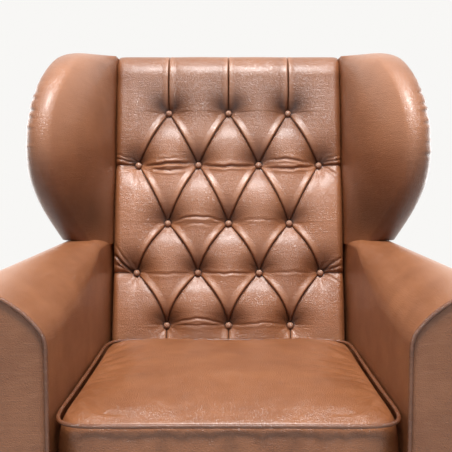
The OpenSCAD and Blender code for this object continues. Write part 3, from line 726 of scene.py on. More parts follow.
def pad_wrinkles():
    """Wrinkles of the buttoned back. Most run from button to button; others fan out to the side edges."""
    # Row, half pitches from the middle, offset upward, half length, width, depth, rise, slope
    across = [
        (1, -2, -1, 60, 3.0, 3.8, 1, 0.07), (1, -2, -10, 42, 3.2, 2.6, -5, -0.02),
        (1, -2, 9, 26, 2.6, 1.2, 2, 0.1), (1, 0, -2, 62, 3.0, 3.6, -5, 0.0),
        (1, 2, -4, 60, 3.0, 3.4, -7, 0.03), (1, 2, 6, 46, 2.8, 2.4, 3, -0.08),
        (2, -1, 1, 60, 2.6, 2.0, 11, 0.0), (2, -1, -7, 34, 2.8, 0.8, 4, 0.0),
        (2, 1, 0, 58, 3.2, 0.8, 6, 0.0), (3, -2, -2, 56, 3.0, 0.9, -2, 0.02),
        (3, 0, -1, 58, 2.6, 1.5, -2, 0.0), (3, 2, -1, 50, 3.2, 0.8, 2, 0.0),
        (4, -1, 1, 60, 2.6, 1.8, 13, 0.0), (4, -1, -1, 52, 2.4, 1.1, 1, 0.0),
        (4, 1, 0, 56, 2.6, 1.2, 5, 0.04),
    ]
    found = [(s * half_pitch, row_height(t) + up, half, width, depth, rise, slope)
             for t, s, up, half, width, depth, rise, slope in across]
    # Fans at the outer buttons: side, row, offset upward, width, depth, slope outward
    fans = [
        (-1, 1, 9, 2.4, 1.7, 0.16), (-1, 1, 16, 2.6, 1.1, 0.32), (-1, 1, -9, 3.0, 0.8, -0.1),
        (1, 1, 8, 2.4, 1.5, 0.12), (1, 1, 15, 2.6, 0.9, 0.25), (1, 1, -13, 2.6, 1.4, -0.75),
        (-1, 3, 17, 3.4, 4.2, 0.95), (-1, 3, 10, 2.6, 1.2, 0.35), (-1, 3, 30, 3.6, 1.3, 1.5),
        (1, 3, 10, 2.6, 1.5, 0.25), (1, 3, 19, 3.0, 1.7, 0.7), (1, 3, -12, 2.8, 1.2, -0.6),
    ]
    found += [(side * 226, row_height(t) + up, 31, width, depth, 0, side * slope)
              for side, t, up, width, depth, slope in fans]
    return found


def fall(x, w):
    """Distance by which the pad falls away from its fullest place."""
    return pad_fall * (x / pad_half) ** 2 + pad_fall * ((w - pad_fullest) / pad_fall_run) ** 2


def proud(x, w):
    """How far the pillows stand out in front of the stuffing's plane, away from the pad's edges."""
    return pillow_proud * smooth((w - button_first_row + 40) / 80) * smooth((crest_start - w) / 90) * (
        1 - (x / pad_half) ** 6)


def pad_surface(x, w, wrinkles):
    """Depth of the hide below the plane of the crowns, the shade painted into its folds and hollows, and its
    paler paint: painted highlights with some rubbing.
    """
    left, right, share = fold_sides(x, w)
    outside = smooth((np.abs(x) / half_pitch - side_column) / 0.3)
    lips = lip_rise * smooth(1.3 * (1 - share)) * (1 - 0.6 * outside)
    flat = level = 1.0
    lift = 0
    for d in (left, right):
        far = np.abs(d)
        dip = np.exp(-far / np.where(d > 0, pillow_width, lip_width))
        flat = flat * (1 - dip)
        level = level * (1 - np.exp(-far / swell_width))
        rolled = np.clip(1 - far / lip_spread, 0, 1) ** 1.3
        lift = lift + np.where(d < 0, lips * (1 - np.exp(-far / lip_edge)) * rolled, 0)
    pull, to_button, hollow, pleats = pits(x, w)
    stands = proud(x, w)
    lift = lift * (1 - pull ** 3)
    depth = (crown_depth + fall(x, w) - stands + (button_sink + stands - fold_depth - swell) * pull
             + fold_depth * (1 - flat) + swell * (1 - level) - lift + pleats)
    valley = 0
    for wrinkle in wrinkles:
        drop = crease(x, w, *wrinkle)
        depth = depth + drop
        valley = valley + np.clip(drop, 0, None)
    over = np.clip((np.abs(x) - (pad_half - edge_roll)) / edge_roll, 0, 1)
    depth = depth + edge_roll * (1 - np.sqrt(1 - np.minimum(over, 0.995) ** 2))
    near = np.minimum(np.abs(left), np.abs(right))
    # Painted shade: darker under the crest, along each fold line, in the wrinkles' valleys, in a ring round
    # each button and in the hollow over it. Along the folds and round the buttons some of the dark is wax.
    crest_shade = 0.34 * smooth((w - top_row + 100) / 100)
    crease_wax_and_shade = np.exp(-(near / crease_shade_core) ** 2) * (1 - 0.5 * over) + 0.07 * np.exp(-near / 5)
    button_ring_wax_and_shade = 0.8 * np.exp(-((to_button - button_diameter / 2) / 2.5) ** 2)
    hollow_shade = 0.78 * hollow * (1 - 0.8 * np.clip(lift / 3, 0, 1))
    fold = np.clip(crest_shade + crease_wax_and_shade + 0.14 * valley + button_ring_wax_and_shade + hollow_shade, 0, 1)
    # Painted highlight, with some rubbing: paler on the crowns and on the lips of the folds, not on the
    # rolled edges.
    crown = 0.4 * np.exp(-(np.maximum(depth - crown_depth, 0) / 9) ** 2)
    rubs_and_highlights = (crown + 0.5 * np.clip(lift / 4, 0, 1)) * (1 - over)
    return depth, fold, rubs_and_highlights


def even_rows(cells):
    """Distances up the pad's face: closer together where wrinkles run from button to button."""
    steps = np.arange(cells) / cells
    steps = steps - 0.07 * np.sin(2 * math.pi * steps)
    rows = [pad_bottom + (button_first_row - pad_bottom) * np.arange(cells) / cells]
    for t in range(row_count - 1, 0, -1):
        rows.append(row_height(t) + button_row_gaps[t - 1] * steps)
    return np.concatenate(rows + [np.linspace(top_row, crest_start, cells // 3 + 2)])


def pad_columns(w, cells):
    """Places across the pad at a height. In every cell one of them lies on the fold, which stays crisp so."""
    t = float(row_place(w))
    inside = button_first_row < w < top_row
    first = min(int(t), row_count - 2)
    share = t - first
    shifted = float(bow(np.array([t]))[0]) - first
    across = []
    for m in range(side_column):
        steps = np.arange(cells) / cells
        if inside:
            fold_step, fold_place = (share, shifted) if (m + first) % 2 == 0 else (1 - share, 1 - shifted)
            fold_step = min(cells - 1, max(1, round(fold_step * cells))) / cells
            before = np.minimum(steps / fold_step, 1)
            after = np.maximum((steps - fold_step) / (1 - fold_step), 0)
            steps = fold_place * (1 - (1 - before) ** 1.4) + (1 - fold_place) * after ** 1.4
        across.append((m + steps) * half_pitch)
    rest = np.linspace(side_column * half_pitch, pad_half, cells * 3 // 4 + 1)
    half = np.concatenate(across + [rest])
    return np.concatenate([-half[:0:-1], half])


def back_pad():
    """The inside back: one hide pulled into diamonds by its buttons, rolled over the crest and behind it."""
    across_cells, row_cells = ((34, 58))
    wrinkles = pad_wrinkles()
    lines = []
    for w in even_rows(row_cells):
        xs = pad_columns(w, across_cells)
        depth, fold, rub_and_highlight = pad_surface(xs, np.full(len(xs), w), wrinkles)
        lines.append((on_back(xs, w, depth), fold, rub_and_highlight))
    for turn in np.linspace(0, math.pi, 36)[1:-1]:
        left = 1 - turn / math.pi
        v = (crown_depth + (depth - crown_depth) * left ** 1.5
             + (crest_depth - crown_depth) * (1 - math.cos(turn)) / 2)
        lines.append((on_back(xs, crest_start + crest_roll * math.sin(turn), v), fold * left ** 2, rub_and_highlight))
    for w, v in [(crest_start, crest_depth), (crest_start - crest_tuck, crest_depth),
                 (crest_start - crest_tuck, back_pad_thickness), (pad_bottom, back_pad_thickness)]:
        lines.append((on_back(xs, w, v), 0 * fold, 0 * rub_and_highlight))
    rows, folds, rubs_and_highlights = [np.array(part) for part in zip(*lines)]
    count, across = rows.shape[:2]
    faces = []
    for i in range(count):
        k = (i + 1) % count
        inward = (rows[i, :-1] + rows[k, 1:] - rows[i, 1:] - rows[k, :-1])[:, Y]
        for j in range(across - 1):
            a, b, c, d = i * across + j, i * across + j + 1, k * across + j + 1, k * across + j
            faces += [(a, b, c), (a, c, d)] if inward[j] > 0 else [(a, b, d), (b, c, d)]
    faces.append(tuple(i * across for i in range(count)))
    faces.append(tuple(i * across + across - 1 for i in reversed(range(count))))
    piece = make("back_upholstery", rows.reshape(-1, 3), faces, "leather", ["back_pad"], fill=0.85, crisp=38)
    # The shade and the highlights painted on the hide, fading over the crest
    paint(piece, "fold", folds.ravel())
    paint(piece, "wear_and_highlight", rubs_and_highlights.ravel())


back_pad()


# Buttons

def head_tree():
    """Node tree that puts a low dome on every point: for the covered buttons and for the tacks."""
    tree = bpy.data.node_groups.new("round_heads", "GeometryNodeTree")
    tree.interface.new_socket(name="Geometry", in_out="OUTPUT", socket_type="NodeSocketGeometry")
    for key, kind in {"Geometry": "Geometry", "Diameter": "Float", "Flatness": "Float", "Segments": "Int",
                      "Rings": "Int", "Turn": "Vector", "Cover": "Material"}.items():
        tree.interface.new_socket(name=key, in_out="INPUT", socket_type="NodeSocket" + kind)
    given = add(tree, "NodeGroupInput").outputs
    radius = add(tree, "ShaderNodeMath", {0: given["Diameter"], 1: 0.5}, operation="MULTIPLY").outputs[0]
    dome = add(tree, "GeometryNodeMeshUVSphere", {"Segments": given["Segments"], "Rings": given["Rings"],
                                                  "Radius": radius})
    squeeze = add(tree, "ShaderNodeCombineXYZ", {"X": 1, "Y": 1, "Z": given["Flatness"]})
    low = add(tree, "GeometryNodeTransform", {"Geometry": dome.outputs["Mesh"], "Scale": squeeze.outputs[0]})
    placed = add(tree, "GeometryNodeInstanceOnPoints", {
        "Points": given["Geometry"], "Instance": low.outputs[0], "Rotation": given["Turn"]})
    real = add(tree, "GeometryNodeRealizeInstances", {"Geometry": placed.outputs[0]})
    soft = add(tree, "GeometryNodeSetShadeSmooth", {"Geometry": real.outputs[0]})
    covered = add(tree, "GeometryNodeSetMaterial", {"Geometry": soft.outputs[0], "Material": given["Cover"]})
    add(tree, "NodeGroupOutput", {0: covered.outputs[0]})
    return tree


round_heads = head_tree()


def heads(name, points, slot, nodes, **sizes):
    """Round heads on points in millimetres, kept as a plain mesh that rides on the chair."""
    piece = in_scene(name, mesh_of(name, points))
    modifier = piece.modifiers.new("heads", "NODES")
    modifier.node_group = round_heads
    sockets = {item.name: item.identifier for item in round_heads.interface.items_tree
               if item.in_out == "INPUT"}
    for key, value in {"Cover": finish_of[slot], **sizes}.items():
        modifier[sockets[key]] = value
    applied(piece, modifier)
    register(piece, nodes, "chair")
    return piece


# The covered buttons, each in the pit that its twine pulls
heads("covered_buttons", [on_back(x, w, button_sink - 1 + fall(x, w)) for x, w in button_places()],
      "leather_buttons", ["back_buttons"], Diameter=button_diameter * MM, Flatness=0.86,
      Segments=36, Rings=20, Turn=(math.pi / 2 - back_recline, 0, 0))


# Wings

def wing_front(z):
    """Y of the wing's front edge at a height."""
    if z < wing_peak_height:
        turn = math.pi / 2 * (z - wing_start) / (wing_peak_height - wing_start)
        return mix(wing_foot_y, -wing_reach, math.sin(turn))
    u = min(1, (z - wing_peak_height) / (wing_top + 4 - wing_peak_height))
    return mix(-wing_reach, back_plane(wing_top) + 10, 1 - math.sqrt(1 - u * u))


def wing_outer(z):
    """X of the wing's outer edge at a height."""
    if z < wing_peak_height:
        turn = math.radians(min(90, 104 * (z - wing_start) / (wing_peak_height - wing_start)))
        return mix(wing_foot_half_width, wing_half_width, math.sin(turn))
    u = (z - wing_peak_height) / (wing_top - wing_peak_height)
    return mix(wing_half_width, panel_x - 1, u * u)


def flat_way(angle):
    """The level direction at an angle from +X."""
    return np.array([math.cos(angle), math.sin(angle)])


def flowing(a, b, leave, arrive, count):
    """Points of a curve that leaves a and arrives at b along two given ways, without b itself."""
    t = np.linspace(0, 1, count, endpoint=False)[:, None]
    return list((2 * t ** 3 - 3 * t ** 2 + 1) * a + (t ** 3 - 2 * t ** 2 + t) * leave
                + (3 * t ** 2 - 2 * t ** 3) * b + (t ** 3 - t ** 2) * arrive)


def wing_frame_at(z):
    """The wing's edge at a height: its centre, its turn, its ways outward and along the outside face, and how
    far it returns along that face."""
    centre = np.array([wing_outer(z) - wing_edge, wing_front(z) + wing_edge])
    splay = math.atan2(centre[0] - wing_edge - wing_x, max(30, back_plane(z) - centre[1]))
    out = flat_way(splay)
    way = np.array([panel_x, rear_plane(z)]) - centre - wing_edge * out
    way /= np.linalg.norm(way)
    return centre, splay, out, way, max(12, 0.3 * (back_plane(z) - centre[1]))


face_steps = 30
edge_steps = 30
return_steps = 8


def wing_ring(z, inset=0, closed_top=False):
    """One level of the wing's stuffing: inner face, rounded edge, outer return and the board's hollow."""
    centre, splay, out, way, length = wing_frame_at(z)
    r = wing_edge - inset
    seam_y = back_plane(z) + 6
    start = np.array([wing_x, seam_y])
    height = unit((z - wing_start) / (wing_top - wing_start))
    full = 0.35 + 0.65 * math.sin(math.pi * height)
    meet = math.pi + splay + wing_roll_in * full
    arc = [centre + r * flat_way(a) for a in np.linspace(meet, 2 * math.pi + splay, edge_steps + 1)]
    end = centre + r * out + length * way
    back = between(arc[-1], end, return_steps)[1:]
    # The face leaves the pad's seam full and runs into the roll without a dip, most at half the wing's height
    chord = arc[0] - start
    run = np.linalg.norm(chord)
    leave = math.atan2(chord[Y], chord[X]) - wing_seam_turn * full
    face = flowing(start, arc[0], run * flat_way(leave), run * flat_way(meet + math.pi / 2), face_steps)
    if closed_top:
        rear = rear_plane(z) - panel_thickness - 1 - inset
        rest = [[mix(panel_x - inset, wing_x, k / 5), rear] for k in range(6)]
    else:
        half = wing_board / 2 + soft_gap
        board_x = wing_x + wing_edge - half
        rest = [end - (wing_edge - half) * out, centre + half * out, centre - half * out,
                [board_x, seam_y + 4], [board_x, seam_y + back_pad_thickness],
                [wing_x, seam_y + back_pad_thickness]]
    return np.array([[p[0], p[1], z] for p in face + arc + back + rest])


def gathers(ring_points, z, side):
    """Small gathers on the wing's rounded edge, where the hide is eased round the curve."""
    # Most lie over the shoulder above the widest place, and a few just below that place
    draw = 0.5 * math.sin(z / 3.1 + side) + 0.35 * math.sin(z / 1.9 + 2) + 0.3 * math.sin(z / 7.3)
    strength = 2.4 * (math.exp(-((z - 920) / 45) ** 2) + 0.6 * math.exp(-((z - 835) / 14) ** 2))
    splay = wing_frame_at(z)[1]
    for k in range(edge_steps + 1 + return_steps):
        share = k / (edge_steps + return_steps)
        angle = math.pi + splay + math.pi * min(1, k / edge_steps)
        push = strength * draw * smooth((share - 0.28) / 0.25) * (1 - 0.6 * smooth((share - 0.7) / 0.3))
        ring_points[face_steps + k, :Z] += push * flat_way(angle)
    return ring_points


def wing(side):
    """The stuffed inside of a wing with its rounded edge, closed over the top of its board."""
    levels = np.arange(wing_start, wing_cap_start, 2.4)
    round_top = 30
    turn = np.linspace(0, 1, 14)[1:]
    tops = np.concatenate([np.linspace(wing_cap_start + 1, wing_top - round_top, 16)[:-1],
                           wing_top - round_top + round_top * np.sin(turn * math.pi / 2)])
    rings = [gathers(wing_ring(z), z, side) for z in levels]
    for z in tops:
        rise = max(0, (z - (wing_top - round_top)) / round_top)
        inset = (round_top - 8) * (1 - math.sqrt(max(0, 1 - rise * rise)))
        rings.append(gathers(wing_ring(min(z, wing_top), inset, closed_top=True), z, side))
    # The foot reaches down to the arm, which falls away towards the seat
    for ring in rings:
        near_arm = np.clip(1 - (ring[:, Z] - wing_start) / 55, 0, 1) ** 2
        ring[:, Z] -= near_arm * np.maximum(0, arm_height - arm_top_under_wing(ring[:, X]))
    rings = [r * [side, 1, 1] for r in rings]
    piece = skin("wing_upholstery_" + hand(side), rings, "leather", ["wing_pad_" + hand(side)], fill=0.9,
                 crisp=50)
    # Painted shade low down beside the back, and a painted highlight with some rubbing higher up where the
    # face rolls over
    place = np.minimum(np.arange(len(rings[0])) / (face_steps + edge_steps), 1)
    dark = []
    highlight_and_rub = []
    for ring in rings:
        z = ring[-1, Z]
        low = math.exp(-((z - wing_start - 45) / 75) ** 2)
        high = smooth((z - wing_start - 110) / 110)
        dark.append(0.78 * low * (0.6 + 0.4 * smooth((place - 0.05) / 0.3)) * smooth((0.95 - place) / 0.3))
        highlight_and_rub.append(0.45 * high * np.exp(-((place - 0.52) / 0.24) ** 2))
    paint(piece, "fold", np.concatenate(dark))
    paint(piece, "wear_and_highlight", np.concatenate(highlight_and_rub))


def outside_wing(side):
    """The panel outside a wing, a little full between its seams."""
    shares = np.linspace(0, 1, 23)
    rings = []
    for z in np.linspace(wing_start, wing_cap_start - soft_gap, 60):
        centre, _, out, way, length = wing_frame_at(z)
        start = centre + wing_edge * out + (length + 3 * soft_gap) * way
        end = np.array([panel_x, rear_plane(z)])
        square = np.array([way[1], -way[0]])
        edge_z = min(1, (z - wing_start) / 12, (wing_cap_start - z) / 12)
        bulge = 1 - np.exp(-np.minimum(shares, 1 - shares) * np.linalg.norm(end - start) / 9)
        outer = [start + (end - start) * t + square * (h - 0.6) for t, h in zip(shares, 2.2 * bulge * edge_z)]
        inner = [np.array([frame_x, rear_plane(z)]), np.array([frame_x, rear_plane(z) - panel_thickness - 2]),
                 start - panel_thickness * out]
        rings.append(np.array([[side * p[0], p[1], z] for p in outer + inner]))
    skin("outside_wing_leather_" + hand(side), rings, "leather", ["outside_wing_" + hand(side)], crisp=40)


# Arms

bend_end = math.radians(38)
sweep_end = math.radians(75)
wall_steps = 12


def arm_share(y):
    """How far forward a place on the arm is: 0 under the wing and 1 at the front."""
    return float(smooth((wing_foot_y - y) / (wing_foot_y - front_y)))


def inner_curve(s, ease=0):
    """The two radii of the curve from the arm's wall to its top, and how far that curve leans outward."""
    tight = mix(12, 45, s) + ease * math.sin(math.pi * s)
    sweep = mix(28, sweep_radius, s)
    return tight, sweep, tight * (1 - math.cos(bend_end)) + sweep * (math.cos(bend_end) - math.cos(sweep_end))


def arm_shape(s):
    """Radii and places of the arm's outline: s is 0 under the wing and 1 at the front.
    The hide lies rounder over the inner edge than the stuffing's outline, most at the rear."""
    firm_run = inner_curve(s)[2]
    tight, sweep, run = inner_curve(math.sqrt(s), 30)
    roll = mix(rear_roll_radius, scroll_radius, s)
    flat = mix(panel_x - rear_roll_radius - seat_half - rear_curve, 0, s) + firm_run - run
    rise = (tight * math.sin(bend_end) + sweep * (math.sin(sweep_end) - math.sin(bend_end))
            + roll * (1 - math.sin(sweep_end)))
    ridge = arm_height - arm_fall * s
    centre = np.array([seat_half + run + roll * math.cos(sweep_end) + flat, ridge - roll])
    end = math.radians(mix(190, 240, s))
    neck = centre[1] + roll * math.sin(end) - neck_drop
    return tight, sweep, roll, ridge - rise, centre, end, neck


def arm_outline(s, bottom):
    """Outline of the arm from its inner face over the scroll to the neck."""
    tight, sweep, roll, start, centre, end, neck = arm_shape(s)
    wall = between((seat_half, bottom), (seat_half, start), wall_steps)
    bend = [(seat_half + tight * (1 - math.cos(a)), start + tight * math.sin(a))
            for a in np.linspace(0, bend_end, 7)[1:]]
    way = [(seat_half + tight * (1 - math.cos(bend_end)) + sweep * (math.cos(bend_end) - math.cos(a)),
            start + tight * math.sin(bend_end) + sweep * (math.sin(a) - math.sin(bend_end)))
           for a in np.linspace(bend_end, sweep_end, 11)[1:]]
    over = [(centre[0] - roll * math.cos(a), centre[1] + roll * math.sin(a))
            for a in np.linspace(math.pi / 2, end, 27)]
    return np.array(wall + bend + way + over + [(panel_x, neck)])


def arm(side):
    """The stuffed inside and scroll of an arm, under one hide."""
    bottom = rail_top + 2.3
    first_y = facing_back_y + soft_gap
    edge = 6
    nose = first_y + edge * (1 - np.cos(np.linspace(0, math.pi / 2, 7)))
    stations = np.concatenate([nose, np.linspace(first_y + edge, wing_foot_y, 70)[1:]])
    rear = np.linspace(0, 1, 16)[1:]
    cavity = arm_height - arm_top_stuffing + 1
    rings = []
    for y in list(stations) + [mix(wing_foot_y, post_front(arm_height), t) for t in rear]:
        outline = arm_outline(arm_share(y), bottom)
        depth = max(0, 1 - (y - first_y) / edge)
        inset = 3.2 * (1 - math.sqrt(max(0, 1 - depth * depth)))
        way = np.gradient(outline, axis=0)
        square = np.stack([-way[:, 1], way[:, 0]], 1)
        square /= np.linalg.norm(square, axis=1)[:, None]
        # Pleats fan back from the facing round the scroll, and the front edge is rounded
        turn = np.arange(len(outline))
        over = smooth((turn - 18) / 10) * (1 - smooth((turn - 50) / 5))
        ripple = np.sin(turn * 2.1 + side) * 0.5 + np.sin(turn * 1.3 + 1) * 0.4
        fade = math.exp(-max(0, y - first_y) / 22)
        push = -inset + over * ripple * fade * 0.7
        outline = outline + square * push[:, None]
        hollow = [(frame_x, outline[-1][1]), (frame_x, cavity), (seat_half + arm_stuffing, cavity),
                  (seat_half + arm_stuffing, bottom)]
        section = np.vstack([outline, hollow])
        limit = np.minimum(y, post_front(section[:, 1]) - soft_gap)
        rings.append(np.stack([side * section[:, 0], limit, section[:, 1]], 1))
    nodes = ["arm_pad_" + hand(side), "arm_roll_" + hand(side)]
    piece = skin("arm_upholstery_" + hand(side), rings, "leather", nodes, fill=0.9, crisp=50)
    # Painted shade on the wall, darker down by the cushion; a painted highlight with some rubbing on the top
    # and the scroll, most towards the outside
    points = np.concatenate(rings)
    across, height = np.abs(points[:, X]), points[:, Z]
    paint(piece, "fold", 0.24 * (1 - smooth((height - 475) / 130)) * (across < seat_half + 40))
    paint(piece, "wear_and_highlight", 0.95 * smooth((across - seat_half - 35) / 75) * smooth((height - 560) / 60))


def facing(side):
    """The panel on the front of an arm."""
    outline = np.vstack([arm_outline(1, panel_foot), [(panel_x, panel_foot)]])
    panel("arm_facing_leather_" + hand(side), outline, lambda u, v, out: (side * u, facing_back_y - out, v),
          facing_thickness, ["arm_facing_" + hand(side)], crown=3.0, step=7)


def arm_piping(side):
    """The piping round the front of an arm."""
    bottom = panel_foot + piping_r
    outline = np.vstack([arm_outline(1, bottom), [(panel_x, bottom)]])
    path = resample([(side * u, front_y - piping_r - 0.05, v) for u, v in outline], 4)
    cord("arm_piping_cord_" + hand(side), [path], ["arm_piping_" + hand(side)], (0, 1, 0))


def outside_arm(side):
    """The flat panel outside an arm, below the scroll's neck."""
    neck = [(y, arm_shape(arm_share(y))[-1] - 0.5) for y in np.linspace(wing_foot_y, facing_back_y, 40)]
    rear_top = arm_shape(0)[-1] - 0.5
    corner_top = wing_start - soft_gap
    outline = [(facing_back_y, panel_foot), (rear_plane(panel_foot), panel_foot),
               (rear_plane(corner_top), corner_top), (post_front(corner_top), corner_top),
               (post_front(rear_top), rear_top)] + neck
    panel("outside_arm_leather_" + hand(side), outline, lambda u, v, out: (side * (frame_x + out), u, v),
          panel_thickness - 1, ["outside_arm_" + hand(side)], crown=2.2, corner=2.0, step=12)


def arm_top_under_wing(x):
    """Height of the arm's inner slope, at its thin rear end."""
    outline = arm_outline(0, rail_top)
    top = int(np.argmax(outline[:, 1]))
    return np.interp(x, outline[wall_steps:top + 1, 0], outline[wall_steps:top + 1, 1])


for side in (-1, 1):
    wing(side)
    outside_wing(side)
    arm(side)
    facing(side)
    arm_piping(side)
    outside_arm(side)


# Flat panels and the seat

def front_border():
    """The panel under the cushion's front, with its piping."""
    half = seat_half - soft_gap
    panel("front_border_leather",
          [(-half, panel_foot), (half, panel_foot), (half, deck_top), (-half, deck_top)],
          lambda u, v, out: (u, facing_back_y - out, v), facing_thickness, ["front_border"],
          crown=2.4, step=10)
    end = seat_half - piping_r - 1
    path = between((-end, front_y - piping_r, deck_top), (end, front_y - piping_r, deck_top), 60)
    cord("border_piping_cord", [path], ["border_piping"], (0, 0, 1))


def outside_back():
    """The panel behind the back, drawn tight and sewn blind at its edges."""
    half = frame_x - soft_gap
    high = overall_height - crest_drop
    panel("outside_back_leather", [(-half, panel_foot), (half, panel_foot), (half, high), (-half, high)],
          lambda u, v, out: (u, rear_plane(v) - panel_thickness + out, v), panel_thickness - 1.5,
          ["outside_back"], crown=2.6, step=14)


def deck():
    """The thin pad that the cushion lies on, covered in lining cloth."""
    low = reach("deck_pad", LOW, Z)
    front, rear = reach("deck_pad", LOW, Y), reach("deck_pad", HIGH, Y)
    half = reach("deck_pad", HIGH, X)
    crown = 3
    panel("deck_upholstery", [(-half, front), (half, front), (half, rear), (-half, rear)],
          lambda u, v, out: (u, v, low + out), deck_top - low - crown, ["deck_pad"],
          crown=crown, corner=6, step=12, slot="lining", fill=0.6)


front_border()
outside_back()
deck()


# Seat cushion

cushion_bottom = deck_top + soft_gap
cushion_top = cushion_bottom + cushion_border
cushion_half = seat_half - 2.5
cushion_front = front_y - cushion_nose + piping_r
cushion_points = 220


def squarer(circle):
    """A coordinate of the unit circle, pushed out towards a square with round corners."""
    return np.abs(circle) ** 0.2 * np.sign(circle)


def cushion_line(z, inset):
    """Outline of the cushion at a height: a square with round corners, its sides drawn in between them."""
    turn = np.linspace(0, 2 * math.pi, 4 * cushion_points, endpoint=False)
    across, along = np.cos(turn), np.sin(turn)
    rear = back_plane(z) - 3
    half_depth = (rear - cushion_front) / 2 - inset
    pull = cushion_draw * (1 - np.abs(np.sin(2 * turn)) ** 0.5)
    x = squarer(across) * (cushion_half - inset - pull * np.abs(across))
    y = (rear + cushion_front) / 2 + squarer(along) * (half_depth - pull * np.abs(along))
    ring = resample(np.stack([x, y], 1), 1, closed=True)
    share = np.arange(cushion_points) * len(ring) / cushion_points
    return np.stack([ring[share.astype(int), 0], ring[share.astype(int), 1], np.full(cushion_points, z)], 1)


def shrunk(ring, share, z):
    """The same outline drawn towards the cushion's middle."""
    middle = np.array([0, (ring[:, 1].min() + ring[:, 1].max()) / 2, 0])
    flat = middle + (ring - middle) * share
    flat[:, Z] = z
    return flat


def settle(piece, seams, cap, slack, voxel):
    """Lets the hide settle round its stuffing: it is blown out from inside while its seams are held.
    No point moves further than the cap, in millimetres."""
    scene = bpy.context.scene
    even = piece.modifiers.new("even", "REMESH")
    even.mode = "VOXEL"
    even.voxel_size = voxel * MM
    mesh = applied(piece, even)
    start = np.empty(3 * len(mesh.vertices))
    mesh.vertices.foreach_get("co", start)
    start = start.reshape(-1, 3)
    held = piece.vertex_groups.new(name="seams")
    for index in np.nonzero(seams(start / MM))[0]:
        held.add([int(index)], 1.0, "REPLACE")
    cloth = piece.modifiers.new("cloth", "CLOTH")
    for setting, value in {"quality": 6, "mass": 0.5, "tension_stiffness": 30, "compression_stiffness": 30,
                           "bending_stiffness": 2.5, "use_pressure": True, "uniform_pressure_force": 4,
                           "vertex_group_mass": "seams", "shrink_min": -slack}.items():
        setattr(cloth.settings, setting, value)
    cloth.settings.effector_weights.gravity = 0
    cloth.point_cache.frame_start = 1
    cloth.point_cache.frame_end = 20
    for step in range(cloth.point_cache.frame_start, cloth.point_cache.frame_end + 1):
        scene.frame_set(step)
    graph = bpy.context.evaluated_depsgraph_get()
    moved = bpy.data.meshes.new_from_object(piece.evaluated_get(graph))
    end = np.empty(3 * len(moved.vertices))
    moved.vertices.foreach_get("co", end)
    piece.modifiers.remove(cloth)
    piece.vertex_groups.clear()
    scene.frame_set(1)
    way = end.reshape(-1, 3) - start
    length = np.linalg.norm(way, axis=1)
    limit = cap * MM
    way *= (limit * np.tanh(length / limit) / np.maximum(length, 1e-9))[:, None]
    mesh.vertices.foreach_set("co", (start + way).ravel())


def finer(piece):
    """One round of subdivision, applied."""
    soft = piece.modifiers.new("soft", "SUBSURF")
    soft.levels = soft.render_levels = 1
    mesh = applied(piece, soft)
    mesh.polygons.foreach_set("use_smooth", [True] * len(mesh.polygons))


def cushion():
    """The loose seat cushion: a crowned top and a border, sewn to a piping at both edges."""
    low_seam = cushion_bottom + piping_r
    high_seam = cushion_top - piping_r
    sides = []
    for u in np.linspace(0, 1, 25):
        z = mix(low_seam, high_seam, u)
        tuck = 3.2 * (math.exp(-(z - low_seam) / 5) + math.exp(-(high_seam - z) / 5))
        sides.append(cushion_line(z, piping_r + 1.4 + tuck - 2.0 * math.sin(math.pi * u)))
    # The rings of the underside and of the crown lie closer together near their seams
    shares = [0.02, 0.3, 0.6, 0.85, 0.95, 0.985]
    under = [shrunk(sides[0], share, cushion_bottom + (0.8 if share > 0.96 else 0.2)) for share in shares]
    crown = []
    for u in [0.012, 0.03, 0.06, 0.1, 0.15, 0.22, 0.31, 0.42, 0.54, 0.67, 0.8, 0.92, 0.985]:
        lift = (cushion_crown + 1) * math.sin(math.pi / 2 * min(1, 1.15 * u ** 0.6))
        crown.append(shrunk(sides[-1], 1 - u, cushion_top - 2.4 + 0.72 * lift))
    piece = skin("cushion_upholstery", under + sides + crown, "leather", ["seat_cushion"], body="cushion",
                 fill=0.8)
    face_out(piece)
    edge_line = sides[-1][:, :2]

    def seams(p):
        at_edge = (np.abs(p[:, Z] - high_seam) < 4.5) & (distance_to(p[:, :Z], edge_line) < 12)
        return at_edge | (p[:, Z] < low_seam + 4)

    settle(piece, seams, cap=9, slack=0.02, voxel=6)
    finer(piece)
    cord("cushion_piping_cords", [cushion_line(z, -0.9) for z in (low_seam, high_seam)], ["cushion_piping"],
         (0, 0, 1), closed=True, body="cushion")


cushion()


# Legs

def round_square(half_x, half_y, corner, steps=6):
    """Points of a rectangle with round corners, anticlockwise."""
    points = []
    for quarter in range(4):
        sx = 1 if quarter in (0, 3) else -1
        sy = 1 if quarter < 2 else -1
        for k in range(steps + 1):
            a = math.pi / 2 * (quarter + k / steps)
            points.append((sx * (half_x - corner) + corner * math.cos(a),
                           sy * (half_y - corner) + corner * math.sin(a)))
    return points


def leg(name, side, rings, middle_x, middle_y, half_x, half_y):
    """A leg from its rings, with the block over it that the rails are joined to."""
    for z in (rail_bottom + 1, rail_top):
        rings.append([(side * (middle_x + x), middle_y + y, z) for x, y in round_square(half_x, half_y, 2)])
    skin(name + "_leg_wood_" + hand(side), rings, "stained_wood", [name + "_leg_" + hand(side)], crisp=32)


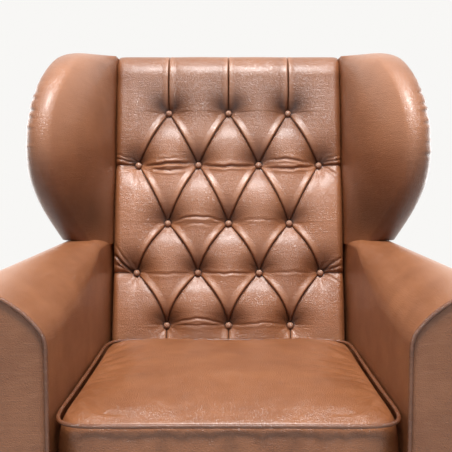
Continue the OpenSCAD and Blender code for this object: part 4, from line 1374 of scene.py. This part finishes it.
def front_leg(side):
    """Curved front leg: full knee, slim ankle, round pad foot."""
    middle_x = frame_x - front_block / 2
    middle_y = facing_back_y + front_block / 2
    height = rail_bottom - glide_height
    rings = []
    for t in np.linspace(0, 1, 72):
        pad = math.sqrt(max(0, 1 - ((t - 0.09) / 0.115) ** 2)) if t < 0.205 else 0
        knee = math.sin(math.pi / 2 * (t - 0.3) / 0.7) ** 1.4 if t > 0.3 else 0
        body = mix(ankle_width, front_block, knee)
        width = (body ** 6 + ((foot_width - 6) * pad + 6 * (t < 0.16)) ** 6) ** (1 / 6)
        corner = width * mix(0.49, 0.16, unit((t - 0.25) / 0.6))
        # The knee swings out and forward, the ankle back in, and the foot a little out again
        out = (9 * math.sin(math.pi * unit((t - 0.45) / 0.55)) + 5 * (1 - float(smooth(t / 0.35)))
               - 3 * math.sin(math.pi * unit((t - 0.1) / 0.4)))
        rings.append([(side * (middle_x + out + x), middle_y - out + y, glide_height + height * t)
                      for x, y in round_square(width / 2, width / 2, corner)])
    leg("front", side, rings, middle_x, middle_y, front_block / 2, front_block / 2)


def rear_leg(side):
    """Rear leg: square, tapered, raked back in a shallow curve."""
    middle_x = frame_x - rear_block / 2
    rear = reach("seat_rail_back", HIGH, Y)
    front = rear - rear_block_depth
    middle_y = (rear + front) / 2
    rings = []
    for t in np.linspace(0, 1, 40):
        back = rear_leg_rake * (1 - t) ** 1.6
        section = round_square(mix(16, rear_block / 2, t), mix(17, rear_block_depth / 2, t), 3.5)
        rings.append([(side * (middle_x + x), middle_y + back + y, mix(glide_height, rail_bottom, t))
                      for x, y in section])
    leg("rear", side, rings, middle_x, middle_y, rear_block / 2, rear_block_depth / 2)


for side in (-1, 1):
    front_leg(side)
    rear_leg(side)


# Dust cover

def cover_line(inset):
    """Outline of the dust cover, cut out round the legs, drawn in by an inset."""
    half = reach("dust_cover", HIGH, X) - inset
    front, rear = reach("dust_cover", LOW, Y) + inset, reach("dust_cover", HIGH, Y) - inset
    cover_margin = 2
    front_cut = frame_x - front_block - cover_margin - inset
    rear_cut = frame_x - rear_block - cover_margin - inset
    front_step = facing_back_y + front_block + cover_margin + inset
    rear_step = reach("seat_rail_back", HIGH, Y) - rear_block_depth - cover_margin - inset
    right = [(front_cut, front), (front_cut, front_step), (half, front_step),
             (half, rear_step), (rear_cut, rear_step), (rear_cut, rear)]
    return np.array(right + [(-x, y) for x, y in reversed(right)])


def dust_cover():
    """Black cloth tacked under the seat frame, hanging a little between the rails."""
    outline = cover_line(0)
    edge = resample(outline, 10, closed=True)
    top = rail_bottom - 0.1
    cloth = 0.8

    def shape(flat, depth):
        heights = top - 5 * smooth((depth - 30) / 160)
        return [[(x, y, z - down) for (x, y), z in zip(flat, heights)] for down in (0, cloth)]

    piece = plate("dust_cover_cloth", edge, grid_over(edge, 8, 14), shape, "lining", ["dust_cover"])
    places = [(x, y, top - cloth) for x, y in resample(cover_line(9), 38, closed=True)]
    tacks = heads("dust_cover_tacks", places, "glide_steel", [], Diameter=7 * MM, Flatness=0.4, Segments=14,
                  Rings=8)


dust_cover()
